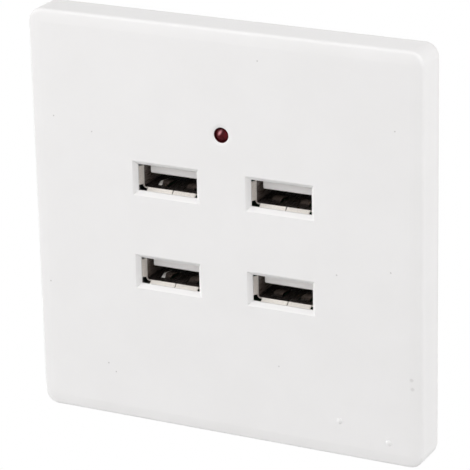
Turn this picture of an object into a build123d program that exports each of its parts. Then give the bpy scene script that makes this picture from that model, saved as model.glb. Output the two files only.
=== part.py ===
from build123d import *
import os

# Charging wall socket: a square snap-on cover over a frame that is screwed to a wall box, with
# four charging ports, an indicator lamp, and a mains supply in a housing behind the wall.
# Millimetres. The wall is the XZ plane, the room lies towards -Y and Z is up. A depth is a
# distance in front of the wall, so it is negative behind the wall.

# Cover
plate_width = 86.0
plate_height = 86.0
face_depth = 8.2
corner_radius = 3.0
crown_inner_radius = 0.2
crown_drop = 0.4
crown_bulge = 0.05
edge_radius = 0.8
face_wall = 2.0
side_wall = 1.8
rib_thickness = 1.0
rib_height = 2.0
rib_beyond_ports = 3.15
rib_beyond_lamp = 4.6
notch_width = 10.0
notch_depth = 1.2
cut_margin = 1.0

# Frame behind the cover
frame_thickness = 2.6
flange_thickness = 0.6
flange_inset = 0.15
rim_gap = 0.1
frame_clearance = 0.2
seat_recess = 0.6
seat_clearance = 0.8
opening_lip = 0.8
opening_corner = 2.0
relief_width = 8.0
relief_height = 16.0
relief_depth = 1.0
relief_x = 34.0
relief_z = 20.0

# Wall screws
screw_spacing = 60.3
slot_length = 8.0
slot_radius = 2.25
head_margin = 2.2
head_recess = 0.8

# Snap hooks of the cover
hook_spacing = 40.0
hook_inset = 5.0
hook_width = 8.0
hook_thickness = 1.2
hook_end_depth = 0.8
barb_height = 0.5
barb_length = 1.4
hook_clearance = 0.15

# Port windows
port_pitch_x = 25.2
port_pitch_z = 20.0
window_width = 13.2
window_height = 5.6
window_chamfer = 0.85
window_wall = 1.2
pocket_clearance = 0.5
lip_gap = 0.3

# Port shells, folded from sheet
mouth_width = 12.5
mouth_height = 5.12
shell_sheet = 0.3
shell_corner = 0.7
shell_length = 14.0
lip_length = 1.2
lip_spread = 0.9
side_lip_height = 4.0
long_lip_width = 10.8
seam_width = 0.2
seam_offset = -0.6
spring_spacing = 6.2
spring_width = 2.0
spring_length = 5.2
spring_slot = 0.35
spring_bow = 0.55
spring_setback = 2.6
leg_width = 1.6
leg_clearance = 0.2

# Port insulators and contacts
tongue_width = 11.1
tongue_thickness = 1.84
tongue_underside = -0.1
tongue_setback = 2.8
tongue_bevel = 0.3
insulator_length = 2.3
insulator_clearance = 0.1
contact_positions = (-3.5, -1.0, 1.0, 3.5)
contact_width = 0.8
contact_thickness = 0.25
contact_clearance = 0.05
contact_setback = 0.7
contact_bow = 0.35
contact_bow_length = 2.4

# Boards
board_thickness = 1.6
board_clearance = 0.5
board_corner = 1.0
board_gap = 12.4
tail_length = 0.9
tail_room = 1.6

# Housing behind the wall
housing_width = 49.0
housing_height = 54.0
housing_wall = 1.6
housing_corner = 3.0
housing_edge = 1.2
pillar_inset = 4.6
pillar_radius = 2.8
shoulder_width = 1.0
pillar_clearance = 0.2
ear_spacing = 28.0
ear_reach = 3.5
ear_radius = 4.0
ear_thickness = 3.0
vent_count = 6
vent_pitch = 4.0
vent_width = 1.4
vent_length = 9.0

# Small screws
housing_screw_radius = 1.25
housing_screw_length = 6.0
housing_head_radius = 2.4
housing_head_height = 1.7
boss_radius = 3.0
boss_height = 2.0
board_screw_radius = 0.9
board_screw_length = 6.0
board_head_radius = 1.9
board_head_height = 1.4
head_bevel = 0.4
pilot_clearance = 0.05
pilot_extra = 0.5
hole_clearance = 0.25

# Indicator lamp
lamp_inset = 3.5
lamp_radius = 1.45
lamp_cap_height = 0.75
lamp_shoulder_radius = 0.5
lamp_length = 5.3
lamp_flange_radius = 1.9
lamp_flange_height = 1.0
lamp_setback = 0.05
lamp_hole_radius = 1.55
lamp_sink_radius = 2.5
lamp_sink_angle = 150.0
lead_pitch = 2.54
lead_radius = 0.25
lead_clearance = 0.15
spacer_radius = 2.2

# Link between the boards
link_inset_x = 11.9
link_inset_z = 7.9
link_count = 4
link_pitch = 2.54
link_pin = 0.64
link_hole_radius = 0.55
link_body_height = 2.5
link_clearance = 0.05

# Transformer
transformer_inset_x = 13.9
transformer_inset_z = 20.4
core_width = 13.2
core_height = 9.6
core_thickness = 6.0
core_leg = 3.2
core_window = 3.0
core_window_height = 6.0
core_lift = 0.5
bobbin_wall = 0.7
bobbin_flange = 0.7
bobbin_clearance = 0.1
bobbin_overhang = 3.0
winding_inset = 0.4
winding_corner = 1.2

# Other power components: an inset is the distance of a centre from the board's nearest edges
input_can_inset_x = 8.9
input_can_inset_z = 10.4
input_can_pitch = 9.0
input_can_radius = 4.0
input_can_height = 10.4
output_can_inset_x = 11.9
output_can_inset_z = 5.5
output_can_pitch = 7.1
output_can_radius = 3.15
output_can_height = 9.6
can_bevel = 0.5
can_groove = 0.35
can_groove_height = 1.8
safety_distance = 13.5
safety_drop = 1.0
safety_radius = 3.5
safety_thickness = 2.8
safety_bevel = 0.8
safety_lift = 1.2
safety_lead_pitch = 5.0
safety_lead_radius = 0.3
fuse_inset_x = 9.4
fuse_inset_z = 9.9
fuse_width = 8.4
fuse_length = 4.2
fuse_height = 7.8
fuse_edge = 0.6
choke_inset_x = 6.9
choke_inset_z = 16.9
choke_radius = 3.2
choke_height = 8.0
choke_waist = 1.6
choke_flange = 1.0
choke_winding_gap = 0.1
bridge_inset_x = 17.9
bridge_inset_z = 11.9
supply_chip_inset_x = 8.9
supply_chip_inset_z = 16.4
port_chip_spacing = 8.0
chip_width = 3.9
chip_length = 4.9
chip_height = 1.75
chip_lift = 0.2
chip_foot_reach = 1.0
chip_foot_width = 0.42
chip_foot_height = 0.45
chip_pitch = 1.27
chip_feet = 4
bridge_width = 4.0
bridge_length = 4.7
bridge_height = 2.4
bridge_pitch = 2.54
bridge_feet = 2

# Screw terminals
terminal_inset = 10.9
pole_pitch = 8.0
terminal_floor = 3.0
cage_width = 5.4
cage_length = 6.0
cage_window_width = 3.8
cage_window_height = 3.8
cage_lower_wall = 0.8
cage_thread_wall = 1.4
cage_clearance = 0.2
cage_travel = 2.0
busbar_width = 3.2
busbar_thickness = 0.8
busbar_gap = 0.1
busbar_side_gap = 0.4
busbar_pin_width = 1.2
screw_shelf = 0.8
shank_radius = 1.5
thread_clearance = 0.06
screw_head_radius = 2.4
screw_head_height = 1.9
screw_head_clearance = 0.1
screw_slot_width = 0.8
screw_slot_depth = 0.9
screw_float = 0.05
terminal_recess = 0.3
terminal_outer_wall = 1.6
terminal_entry_wall = 1.4
terminal_back_wall = 1.2
terminal_edge = 0.6
wire_entry_radius = 1.7
wire_funnel = 0.6
terminal_clearance = 0.3

# Depths that follow from the sizes above
rim_depth = flange_thickness + rim_gap
inner_face_depth = face_depth - face_wall
crown_width = corner_radius - crown_inner_radius
lip_depth = face_depth - window_wall - lip_gap
tube_depth = lip_depth - lip_length
board_depth = lip_depth - shell_length
port_board_back = board_depth - board_thickness
port_tail_depth = port_board_back - tail_length
power_front = port_board_back - board_gap
power_back = power_front - board_thickness
housing_floor = power_back - tail_room
housing_back = housing_floor - housing_wall
tongue_tip = lip_depth - tongue_setback

# Outlines and places that follow from the sizes above
cavity_width = housing_width - 2 * housing_wall
cavity_height = housing_height - 2 * housing_wall
board_width = cavity_width - 2 * board_clearance
board_height = cavity_height - 2 * board_clearance
board_left = -board_width / 2
board_right = board_width / 2
board_bottom = -board_height / 2
board_top = board_height / 2
opening_width = cavity_width - 2 * opening_lip
opening_height = cavity_height - 2 * opening_lip
pillar_spacing_x = cavity_width - 2 * pillar_inset
pillar_spacing_z = cavity_height - 2 * pillar_inset
shoulder_radius = pillar_radius + shoulder_width
ear_z = housing_height / 2 + ear_reach
seat_width = housing_width + 2 * seat_clearance
seat_height = 2 * (ear_z + ear_radius + seat_clearance)
hook_z = plate_height / 2 - side_wall - hook_inset
shell_width = mouth_width + 2 * shell_sheet
shell_height = mouth_height + 2 * shell_sheet
pocket_width = shell_width + 2 * (lip_spread + pocket_clearance)
pocket_height = shell_height + 2 * (lip_spread + pocket_clearance)
rib_x = (port_pitch_x + pocket_width) / 2 + rib_beyond_ports
leg_spacing = mouth_width + shell_sheet
contact_z = tongue_underside + contact_thickness / 2 + contact_clearance / 2
contact_tip = tongue_tip - contact_setback
port_places = {
    "top_left": (-port_pitch_x / 2, port_pitch_z / 2),
    "top_right": (port_pitch_x / 2, port_pitch_z / 2),
    "bottom_left": (-port_pitch_x / 2, -port_pitch_z / 2),
    "bottom_right": (port_pitch_x / 2, -port_pitch_z / 2),
}
lamp_z = board_top - lamp_inset
rib_z = lamp_z + rib_beyond_lamp
lamp_base = face_depth - lamp_setback - lamp_length
link_x = board_left + link_inset_x
link_z = board_top - link_inset_z
transformer_x = board_right - transformer_inset_x
transformer_z = board_top - transformer_inset_z
input_can_x = board_left + input_can_inset_x
input_can_z = board_bottom + input_can_inset_z
input_can_places = [(input_can_x, input_can_z), (input_can_x, input_can_z + input_can_pitch)]
output_can_x = board_right - output_can_inset_x
output_can_z = board_top - output_can_inset_z
output_can_places = [(output_can_x, output_can_z), (output_can_x - output_can_pitch, output_can_z)]
safety_x = transformer_x - safety_distance
safety_z = transformer_z - safety_drop
fuse_x = board_right - fuse_inset_x
fuse_z = board_bottom + fuse_inset_z
choke_x = board_right - choke_inset_x
choke_z = board_bottom + choke_inset_z
bridge_place = (board_left + bridge_inset_x, board_top - bridge_inset_z)
supply_chip_place = (board_left + supply_chip_inset_x, board_top - supply_chip_inset_z)
port_chip_places = [(-port_chip_spacing / 2, 0), (port_chip_spacing / 2, 0)]
terminal_z = board_bottom + terminal_inset
pole_places = {"live": -pole_pitch / 2, "neutral": pole_pitch / 2}


def facing(depth, x=0.0, z=0.0):
    """Plane parallel to the wall, seen from the room: X to the right, Z up."""
    return Plane(origin=(x, -depth, z), x_dir=(1, 0, 0), z_dir=(0, -1, 0))


def facing_wall(depth, x=0.0, z=0.0):
    """Plane parallel to the wall that looks into it: X to the right, Z down."""
    return Plane(origin=(x, -depth, z), x_dir=(1, 0, 0), z_dir=(0, 1, 0))


def beside(x, depth=0.0, z=0.0):
    """Plane square to X: depth to the right, Z up."""
    return Plane(origin=(x, -depth, z), x_dir=(0, -1, 0), z_dir=(-1, 0, 0))


def above(z, x=0.0, depth=0.0):
    """Plane square to Z: X to the right, depth up."""
    return Plane(origin=(x, -depth, z), x_dir=(1, 0, 0), z_dir=(0, 0, -1))


def towards_room(x, z):
    """Axis square to the wall through a place on it."""
    return Axis((x, 0, z), (0, -1, 0))


def save(part, name):
    """Label a finished piece and write it under its own name."""
    part.label = name
    export_step(part, f"parts/{name}.step")


os.makedirs("parts", exist_ok=True)

# Front cover: crowned plate, hollow behind, with windows, lamp hole, ribs and snap hooks
with BuildPart() as front_cover:
    with BuildSketch(facing(rim_depth)):
        RectangleRounded(plate_width, plate_height, corner_radius)
    extrude(amount=face_depth - rim_depth)
    # The face falls away to the edge in a shallow arc, cut by sweeping that arc round the plate
    with BuildSketch(facing(face_depth), mode=Mode.PRIVATE) as face_outline:
        RectangleRounded(plate_width, plate_height, corner_radius)
    rim_path = face_outline.sketch.face().outer_wire()
    with BuildSketch(Plane(origin=rim_path @ 0, x_dir=(0, -1, 0), z_dir=rim_path % 0)) as crown:
        with BuildLine():
            fall = SagittaArc((0, -crown_width), (-crown_drop, 0), -crown_bulge)
            Polyline(fall @ 1, (-crown_drop, cut_margin), (cut_margin, cut_margin),
                     (cut_margin, -crown_width), fall @ 0)
        make_face()
    sweep(sections=crown.sketch, path=rim_path, mode=Mode.SUBTRACT)
    crown_level = crown_drop - face_depth
    crown_edges = front_cover.edges().filter_by_position(
        Axis.Y, crown_level - crown_drop / 2, crown_level + crown_drop / 2
    )
    fillet(crown_edges, radius=edge_radius)
    with BuildSketch(facing(rim_depth)):
        RectangleRounded(
            plate_width - 2 * side_wall, plate_height - 2 * side_wall, corner_radius - side_wall
        )
    extrude(amount=inner_face_depth - rim_depth, mode=Mode.SUBTRACT)
    # Chamfered port windows, each with a pocket behind it for the shell's lips
    with BuildSketch(facing(inner_face_depth)):
        with GridLocations(port_pitch_x, port_pitch_z, 2, 2):
            Rectangle(pocket_width, pocket_height)
    extrude(amount=face_wall - window_wall, mode=Mode.SUBTRACT)
    with BuildSketch(facing(face_depth)):
        with GridLocations(port_pitch_x, port_pitch_z, 2, 2):
            Rectangle(window_width, window_height)
    extrude(amount=-face_wall, mode=Mode.SUBTRACT)
    flat_face = front_cover.faces().sort_by(Axis.Y)[0]
    chamfer(flat_face.inner_wires().edges(), length=window_chamfer)
    with Locations(facing(face_depth, 0, lamp_z)):
        CounterSinkHole(
            lamp_hole_radius, lamp_sink_radius, depth=face_wall, counter_sink_angle=lamp_sink_angle
        )
    # Stiffening ribs and snap hooks
    with BuildSketch(facing(inner_face_depth)):
        with Locations((-rib_x, 0), (rib_x, 0)):
            Rectangle(rib_thickness, 2 * rib_z)
        with Locations((0, -rib_z), (0, rib_z)):
            Rectangle(2 * rib_x + rib_thickness, rib_thickness)
    extrude(amount=-rib_height)
    with BuildSketch(facing(inner_face_depth)):
        with GridLocations(hook_spacing, 2 * hook_z, 2, 2):
            Rectangle(hook_width, hook_thickness)
    extrude(amount=hook_end_depth - inner_face_depth)
    for side in (-1, 1):
        barb_root = side * (hook_z + hook_thickness / 2)
        for hook_x in (-hook_spacing / 2, hook_spacing / 2):
            with BuildSketch(beside(hook_x, hook_end_depth, barb_root)):
                with BuildLine():
                    Polyline((0, 0), (barb_length, 0), (barb_length / 2, side * barb_height), close=True)
                make_face()
            extrude(amount=hook_width / 2, both=True)
    # Pry notch in the lower wall
    with BuildSketch(facing(rim_depth)):
        with Locations((0, -plate_height / 2)):
            Rectangle(notch_width, 2 * side_wall)
    extrude(amount=notch_depth, mode=Mode.SUBTRACT)
save(front_cover.part, "front_cover")

# Mounting frame: plate with wall screw slots, hook windows and a seat for the housing in its back
with BuildPart() as mounting_frame:
    with BuildSketch(facing(0)):
        RectangleRounded(
            plate_width - 2 * flange_inset, plate_height - 2 * flange_inset, corner_radius - flange_inset
        )
    extrude(amount=flange_thickness)
    body_inset = side_wall + frame_clearance
    with BuildSketch(facing(flange_thickness)):
        RectangleRounded(
            plate_width - 2 * body_inset, plate_height - 2 * body_inset, corner_radius - body_inset
        )
    extrude(amount=frame_thickness - flange_thickness)
    with BuildSketch(facing(frame_thickness)):
        with GridLocations(ear_spacing, 2 * ear_z, 2, 2):
            Circle(boss_radius)
    extrude(amount=boss_height)
    with BuildSketch(facing(frame_thickness)):
        with GridLocations(2 * relief_x, 2 * relief_z, 2, 2):
            Rectangle(relief_width, relief_height)
    extrude(amount=-relief_depth, mode=Mode.SUBTRACT)
    with BuildSketch(facing(0)):
        RectangleRounded(seat_width, seat_height, housing_corner + seat_clearance)
    extrude(amount=seat_recess, mode=Mode.SUBTRACT)
    with BuildSketch(facing(0)):
        RectangleRounded(opening_width, opening_height, opening_corner)
        with Locations((-screw_spacing / 2, 0), (screw_spacing / 2, 0)):
            SlotOverall(slot_length, 2 * slot_radius)
        with GridLocations(hook_spacing, 2 * hook_z + barb_height, 2, 2):
            Rectangle(
                hook_width + 2 * hook_clearance, hook_thickness + barb_height + 2 * hook_clearance
            )
    extrude(amount=frame_thickness, mode=Mode.SUBTRACT)
    with BuildSketch(facing(frame_thickness)):
        with Locations((-screw_spacing / 2, 0), (screw_spacing / 2, 0)):
            SlotOverall(slot_length + 2 * head_margin, 2 * (slot_radius + head_margin))
    extrude(amount=-head_recess, mode=Mode.SUBTRACT)
    with BuildSketch(facing(seat_recess)):
        with GridLocations(ear_spacing, 2 * ear_z, 2, 2):
            Circle(housing_screw_radius + pilot_clearance)
    extrude(amount=housing_screw_length - ear_thickness + pilot_extra, mode=Mode.SUBTRACT)
save(mounting_frame.part, "mounting_frame")

# Rear housing: moulded box with fixing ears, board pillars, vents and the terminal cut-out
cell_front = -cage_length / 2 - cage_clearance
cell_back = cage_length / 2 + busbar_side_gap + busbar_thickness + cage_clearance
terminal_front = cell_front - terminal_entry_wall
terminal_rear = cell_back + terminal_back_wall
cell_width = cage_width + 2 * cage_clearance
terminal_width = pole_pitch + cell_width + 2 * terminal_outer_wall
terminal_height = terminal_rear - terminal_front
terminal_middle = terminal_z + (terminal_rear + terminal_front) / 2
with BuildPart() as rear_housing:
    with BuildSketch(facing(seat_recess)):
        RectangleRounded(housing_width, housing_height, housing_corner)
    extrude(amount=housing_back - seat_recess)
    chamfer(rear_housing.faces().sort_by(Axis.Y)[-1].edges(), length=housing_edge)
    with BuildSketch(facing(seat_recess)):
        with GridLocations(ear_spacing, 2 * ear_z, 2, 2):
            Circle(ear_radius)
        with GridLocations(ear_spacing, 2 * (ear_z - ear_reach / 2), 2, 2):
            Rectangle(2 * ear_radius, ear_reach)
    extrude(amount=-ear_thickness)
    with BuildSketch(facing(seat_recess)):
        RectangleRounded(cavity_width, cavity_height, housing_corner - housing_wall)
    extrude(amount=housing_floor - seat_recess, mode=Mode.SUBTRACT)
    with BuildSketch(facing(housing_floor)):
        with GridLocations(pillar_spacing_x, pillar_spacing_z, 2, 2):
            Circle(shoulder_radius)
    extrude(amount=tail_room)
    with BuildSketch(facing(housing_floor)):
        with GridLocations(pillar_spacing_x, pillar_spacing_z, 2, 2):
            Circle(pillar_radius)
    extrude(amount=port_board_back - housing_floor)
    with BuildSketch(facing(port_board_back)):
        with GridLocations(pillar_spacing_x, pillar_spacing_z, 2, 2):
            Circle(board_screw_radius + pilot_clearance)
    extrude(amount=board_thickness - board_screw_length - pilot_extra, mode=Mode.SUBTRACT)
    with BuildSketch(facing(seat_recess)):
        with GridLocations(ear_spacing, 2 * ear_z, 2, 2):
            Circle(housing_screw_radius + hole_clearance)
    extrude(amount=-ear_thickness, mode=Mode.SUBTRACT)
    with BuildSketch(beside(0, (port_board_back + power_front) / 2)):
        with GridLocations(0, vent_pitch, 1, vent_count):
            Rectangle(vent_length, vent_width)
    extrude(amount=housing_width, both=True, mode=Mode.SUBTRACT)
    with BuildSketch(facing(housing_floor, 0, terminal_middle)):
        Rectangle(terminal_width + 2 * terminal_clearance, terminal_height + 2 * terminal_clearance)
    extrude(amount=-housing_wall, mode=Mode.SUBTRACT)
save(rear_housing.part, "rear_housing")

# Port board, with holes for the screws, contacts, shell legs, lamp leads and link pins
with BuildPart() as port_board:
    with BuildSketch(facing(board_depth)):
        RectangleRounded(board_width, board_height, board_corner)
        with GridLocations(pillar_spacing_x, pillar_spacing_z, 2, 2):
            Circle(board_screw_radius + hole_clearance, mode=Mode.SUBTRACT)
        with GridLocations(port_pitch_x, port_pitch_z, 2, 2):
            with Locations(*[(place, contact_z) for place in contact_positions]):
                Rectangle(
                    contact_width + 2 * leg_clearance,
                    contact_thickness + 2 * leg_clearance,
                    mode=Mode.SUBTRACT,
                )
            with GridLocations(leg_spacing, 0, 2, 1):
                Rectangle(
                    shell_sheet + 2 * leg_clearance, leg_width + 2 * leg_clearance, mode=Mode.SUBTRACT
                )
        with Locations((0, lamp_z)):
            with GridLocations(lead_pitch, 0, 2, 1):
                Circle(lead_radius + lead_clearance, mode=Mode.SUBTRACT)
        with Locations((link_x, link_z)):
            with GridLocations(link_pitch, 0, link_count, 1):
                Circle(link_hole_radius, mode=Mode.SUBTRACT)
    extrude(amount=-board_thickness)
save(port_board.part, "port_board")

# Power board, which drops over the pillars onto their shoulders
busbar_z = terminal_z + cell_back - cage_clearance - busbar_thickness / 2
with BuildPart() as power_board:
    with BuildSketch(facing(power_front)):
        RectangleRounded(board_width, board_height, board_corner)
        with GridLocations(pillar_spacing_x, pillar_spacing_z, 2, 2):
            Circle(pillar_radius + pillar_clearance, mode=Mode.SUBTRACT)
        with Locations((link_x, link_z)):
            with GridLocations(link_pitch, 0, link_count, 1):
                Circle(link_hole_radius, mode=Mode.SUBTRACT)
        with Locations((0, busbar_z)):
            with GridLocations(pole_pitch, 0, 2, 1):
                Rectangle(
                    busbar_pin_width + 2 * hole_clearance,
                    busbar_thickness + 2 * hole_clearance,
                    mode=Mode.SUBTRACT,
                )
    extrude(amount=-board_thickness)
save(power_board.part, "power_board")


def build_shell(x, z):
    """Folded sheet shell of one port: tube, four flared lips, leaf springs, seam and legs."""
    with BuildPart() as shell:
        with BuildSketch(facing(board_depth, x, z)):
            RectangleRounded(shell_width, shell_height, shell_corner)
            RectangleRounded(mouth_width, mouth_height, shell_corner - shell_sheet, mode=Mode.SUBTRACT)
        extrude(amount=tube_depth - board_depth)
        for side in (-1, 1):
            with BuildSketch(above(z, x, tube_depth)):
                with BuildLine():
                    Polyline(
                        (side * mouth_width / 2, 0),
                        (side * shell_width / 2, 0),
                        (side * (shell_width / 2 + lip_spread), lip_length),
                        (side * (mouth_width / 2 + lip_spread), lip_length),
                        close=True,
                    )
                make_face()
            extrude(amount=side_lip_height / 2, both=True)
            with BuildSketch(beside(x, tube_depth, z)):
                with BuildLine():
                    Polyline(
                        (0, side * mouth_height / 2),
                        (0, side * shell_height / 2),
                        (lip_length, side * (shell_height / 2 + lip_spread)),
                        (lip_length, side * (mouth_height / 2 + lip_spread)),
                        close=True,
                    )
                make_face()
            extrude(amount=long_lip_width / 2, both=True)
            # Leaf springs: a window in the sheet, and a strip that bows into the mouth
            sheet_z = side * (mouth_height + shell_sheet) / 2
            spring_front = lip_depth - spring_setback
            spring_root = spring_front - spring_length
            with BuildSketch(above(z + sheet_z, x, (spring_front + spring_root) / 2)):
                with GridLocations(spring_spacing, 0, 2, 1):
                    Rectangle(spring_width + 2 * spring_slot, spring_length)
            extrude(amount=shell_sheet, both=True, mode=Mode.SUBTRACT)
            for spring_x in (-spring_spacing / 2, spring_spacing / 2):
                with BuildSketch(beside(x + spring_x, 0, z + sheet_z)):
                    with BuildLine():
                        Polyline(
                            (spring_root - shell_sheet, 0),
                            (spring_root, 0),
                            (spring_front - spring_length / 3, -side * spring_bow),
                            (spring_front - spring_slot, 0),
                        )
                    trace(line_width=shell_sheet)
                extrude(amount=spring_width / 2, both=True)
        seam_height = 2 * shell_sheet + lip_spread
        with BuildSketch(facing(board_depth, x, z)):
            with Locations((seam_offset, -(mouth_height - shell_sheet + seam_height) / 2)):
                Rectangle(seam_width, seam_height)
        extrude(amount=shell_length, mode=Mode.SUBTRACT)
        with BuildSketch(facing(board_depth, x, z)):
            with GridLocations(leg_spacing, 0, 2, 1):
                Rectangle(shell_sheet, leg_width)
        extrude(amount=port_tail_depth - board_depth)
    return shell.part


def build_tongue(x, z):
    """Insulator of one port: a base on the board and a tongue grooved for the contacts."""
    with BuildPart() as tongue:
        with BuildSketch(facing(board_depth, x, z)):
            RectangleRounded(
                mouth_width - 2 * insulator_clearance,
                mouth_height - 2 * insulator_clearance,
                shell_corner - shell_sheet,
            )
        extrude(amount=insulator_length)
        with BuildSketch(facing(board_depth, x, z + tongue_underside + tongue_thickness / 2)):
            Rectangle(tongue_width, tongue_thickness)
        extrude(amount=tongue_tip - board_depth)
        tip_edges = tongue.faces().sort_by(Axis.Y)[0].edges().filter_by(Axis.X)
        chamfer(tip_edges, length=tongue_bevel)
        with BuildSketch(facing(board_depth, x, z + contact_z)):
            with Locations(*[(place, 0) for place in contact_positions]):
                Rectangle(
                    contact_width + 2 * contact_clearance, contact_thickness + 2 * contact_clearance
                )
        extrude(amount=contact_tip + contact_clearance - board_depth, mode=Mode.SUBTRACT)
    return tongue.part


def build_contacts(x, z):
    """The four spring contacts of one port, bowed near the tip and long enough to be soldered."""
    bow_front = contact_tip - contact_bow_length / 4
    bow_back = bow_front - contact_bow_length
    with BuildPart() as contacts:
        for place in contact_positions:
            with BuildSketch(beside(x + place, 0, z + contact_z)):
                with BuildLine():
                    Polyline(
                        (port_tail_depth, 0),
                        (bow_back, 0),
                        (bow_back + contact_bow_length / 3, -contact_bow),
                        (bow_front - contact_bow_length / 3, -contact_bow),
                        (bow_front, 0),
                        (contact_tip, 0),
                    )
                trace(line_width=contact_thickness)
            extrude(amount=contact_width / 2, both=True)
    return contacts.part


# Charging ports
for port_name, (port_x, port_z) in port_places.items():
    save(build_shell(port_x, port_z), f"port_shell_{port_name}")
    save(build_tongue(port_x, port_z), f"port_tongue_{port_name}")
    save(build_contacts(port_x, port_z), f"port_contacts_{port_name}")

# Indicator lamp on its spacer
with BuildPart() as indicator_lamp:
    with BuildSketch(above(lamp_z, 0, lamp_base)) as lamp_profile:
        with BuildLine():
            lamp_side = Polyline(
                (0, lamp_length),
                (0, 0),
                (lamp_flange_radius, 0),
                (lamp_flange_radius, lamp_flange_height),
                (lamp_radius, lamp_flange_height),
                (lamp_radius, lamp_length - lamp_cap_height),
            )
            TangentArc(lamp_side @ 0, lamp_side @ 1, tangent=(1, 0))
        make_face()
        lamp_shoulder = lamp_profile.vertices().sort_by_distance(lamp_side @ 1)[0]
        fillet(lamp_shoulder, radius=lamp_shoulder_radius)
    revolve(axis=towards_room(0, lamp_z))
save(indicator_lamp.part, "indicator_lamp")

with BuildPart() as lamp_leads:
    with BuildSketch(facing(lamp_base, 0, lamp_z)):
        with GridLocations(lead_pitch, 0, 2, 1):
            Circle(lead_radius)
    extrude(amount=port_tail_depth - lamp_base)
save(lamp_leads.part, "lamp_leads")

with BuildPart() as lamp_spacer:
    with BuildSketch(facing(board_depth, 0, lamp_z)):
        Circle(spacer_radius)
        with GridLocations(lead_pitch, 0, 2, 1):
            Circle(lead_radius + lead_clearance, mode=Mode.SUBTRACT)
    extrude(amount=lamp_base - board_depth)
save(lamp_spacer.part, "lamp_spacer")

# Link between the two boards
with BuildPart() as link_pins:
    with BuildSketch(facing(board_depth + tail_length, link_x, link_z)):
        with GridLocations(link_pitch, 0, link_count, 1):
            Rectangle(link_pin, link_pin)
    extrude(amount=power_back - 2 * tail_length - board_depth)
save(link_pins.part, "link_pins")

with BuildPart() as link_body:
    with BuildSketch(facing(power_front, link_x, link_z)):
        Rectangle(link_count * link_pitch, link_pitch)
        with GridLocations(link_pitch, 0, link_count, 1):
            Rectangle(link_pin + 2 * link_clearance, link_pin + 2 * link_clearance, mode=Mode.SUBTRACT)
    extrude(amount=link_body_height)
save(link_body.part, "link_body")

# Transformer: core with a middle leg, bobbin on that leg, and winding
core_base = power_front + core_lift
window_base = core_base + (core_height - core_window_height) / 2
bobbin_base = window_base + bobbin_clearance
bobbin_length = core_window_height - 2 * bobbin_clearance
bobbin_hole_width = core_leg + 2 * bobbin_clearance
bobbin_hole_length = core_thickness + 2 * bobbin_clearance
bobbin_width = core_leg + 2 * (core_window - bobbin_clearance)
bobbin_span = core_thickness + 2 * bobbin_overhang
with BuildPart() as transformer_core:
    with BuildSketch(above(transformer_z, transformer_x, core_base + core_height / 2)):
        Rectangle(core_width, core_height)
        with GridLocations(core_leg + core_window, 0, 2, 1):
            Rectangle(core_window, core_window_height, mode=Mode.SUBTRACT)
    extrude(amount=core_thickness / 2, both=True)
save(transformer_core.part, "transformer_core")

with BuildPart() as transformer_bobbin:
    for flange_depth in (bobbin_base, bobbin_base + bobbin_length - bobbin_flange):
        with BuildSketch(facing(flange_depth, transformer_x, transformer_z)):
            Rectangle(bobbin_width, bobbin_span)
        extrude(amount=bobbin_flange)
    with BuildSketch(facing(bobbin_base, transformer_x, transformer_z)):
        Rectangle(bobbin_hole_width + 2 * bobbin_wall, bobbin_hole_length + 2 * bobbin_wall)
    extrude(amount=bobbin_length)
    with BuildSketch(facing(power_front, transformer_x, transformer_z)):
        rail_width = bobbin_overhang - 2 * bobbin_wall
        with GridLocations(0, bobbin_span - rail_width, 1, 2):
            Rectangle(bobbin_width, rail_width)
    extrude(amount=bobbin_base - power_front)
    with BuildSketch(facing(bobbin_base, transformer_x, transformer_z)):
        Rectangle(bobbin_hole_width, bobbin_hole_length)
    extrude(amount=bobbin_length, mode=Mode.SUBTRACT)
save(transformer_bobbin.part, "transformer_bobbin")

with BuildPart() as transformer_winding:
    with BuildSketch(facing(bobbin_base + bobbin_flange, transformer_x, transformer_z)):
        RectangleRounded(
            bobbin_width - 2 * winding_inset, bobbin_span - 2 * winding_inset, winding_corner
        )
        Rectangle(
            bobbin_hole_width + 2 * bobbin_wall, bobbin_hole_length + 2 * bobbin_wall, mode=Mode.SUBTRACT
        )
    extrude(amount=bobbin_length - 2 * bobbin_flange)
save(transformer_winding.part, "transformer_winding")


def build_cans(places, radius, height):
    """Electrolytic capacitors standing on the power board, each with a crimp groove and bevels."""
    with BuildPart() as cans:
        for x, z in places:
            with BuildSketch(above(z, x, power_front)):
                with BuildLine():
                    Polyline(
                        (0, 0),
                        (radius - can_bevel, 0),
                        (radius, can_bevel),
                        (radius, can_groove_height - can_groove),
                        (radius - can_groove, can_groove_height),
                        (radius, can_groove_height + can_groove),
                        (radius, height - can_bevel),
                        (radius - can_bevel, height),
                        (0, height),
                        close=True,
                    )
                make_face()
            revolve(axis=towards_room(x, z))
    return cans.part


save(build_cans(input_can_places, input_can_radius, input_can_height), "input_capacitors")
save(build_cans(output_can_places, output_can_radius, output_can_height), "output_capacitors")

# Safety capacitor: a coated disc standing on two leads
with BuildPart() as safety_capacitor:
    disc_depth = power_front + safety_lift + safety_radius
    with BuildSketch(facing(disc_depth, safety_x, safety_z)):
        with BuildLine():
            Polyline(
                (-safety_thickness / 2, 0),
                (-safety_thickness / 2, safety_radius - safety_bevel),
                (safety_bevel - safety_thickness / 2, safety_radius),
                (safety_thickness / 2 - safety_bevel, safety_radius),
                (safety_thickness / 2, safety_radius - safety_bevel),
                (safety_thickness / 2, 0),
                close=True,
            )
        make_face()
    revolve(axis=Axis((safety_x, -disc_depth, safety_z), (1, 0, 0)))
    with BuildSketch(facing(power_front, safety_x, safety_z)):
        with GridLocations(0, safety_lead_pitch, 1, 2):
            Circle(safety_lead_radius)
    extrude(amount=disc_depth - power_front)
save(safety_capacitor.part, "safety_capacitor")

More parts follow.
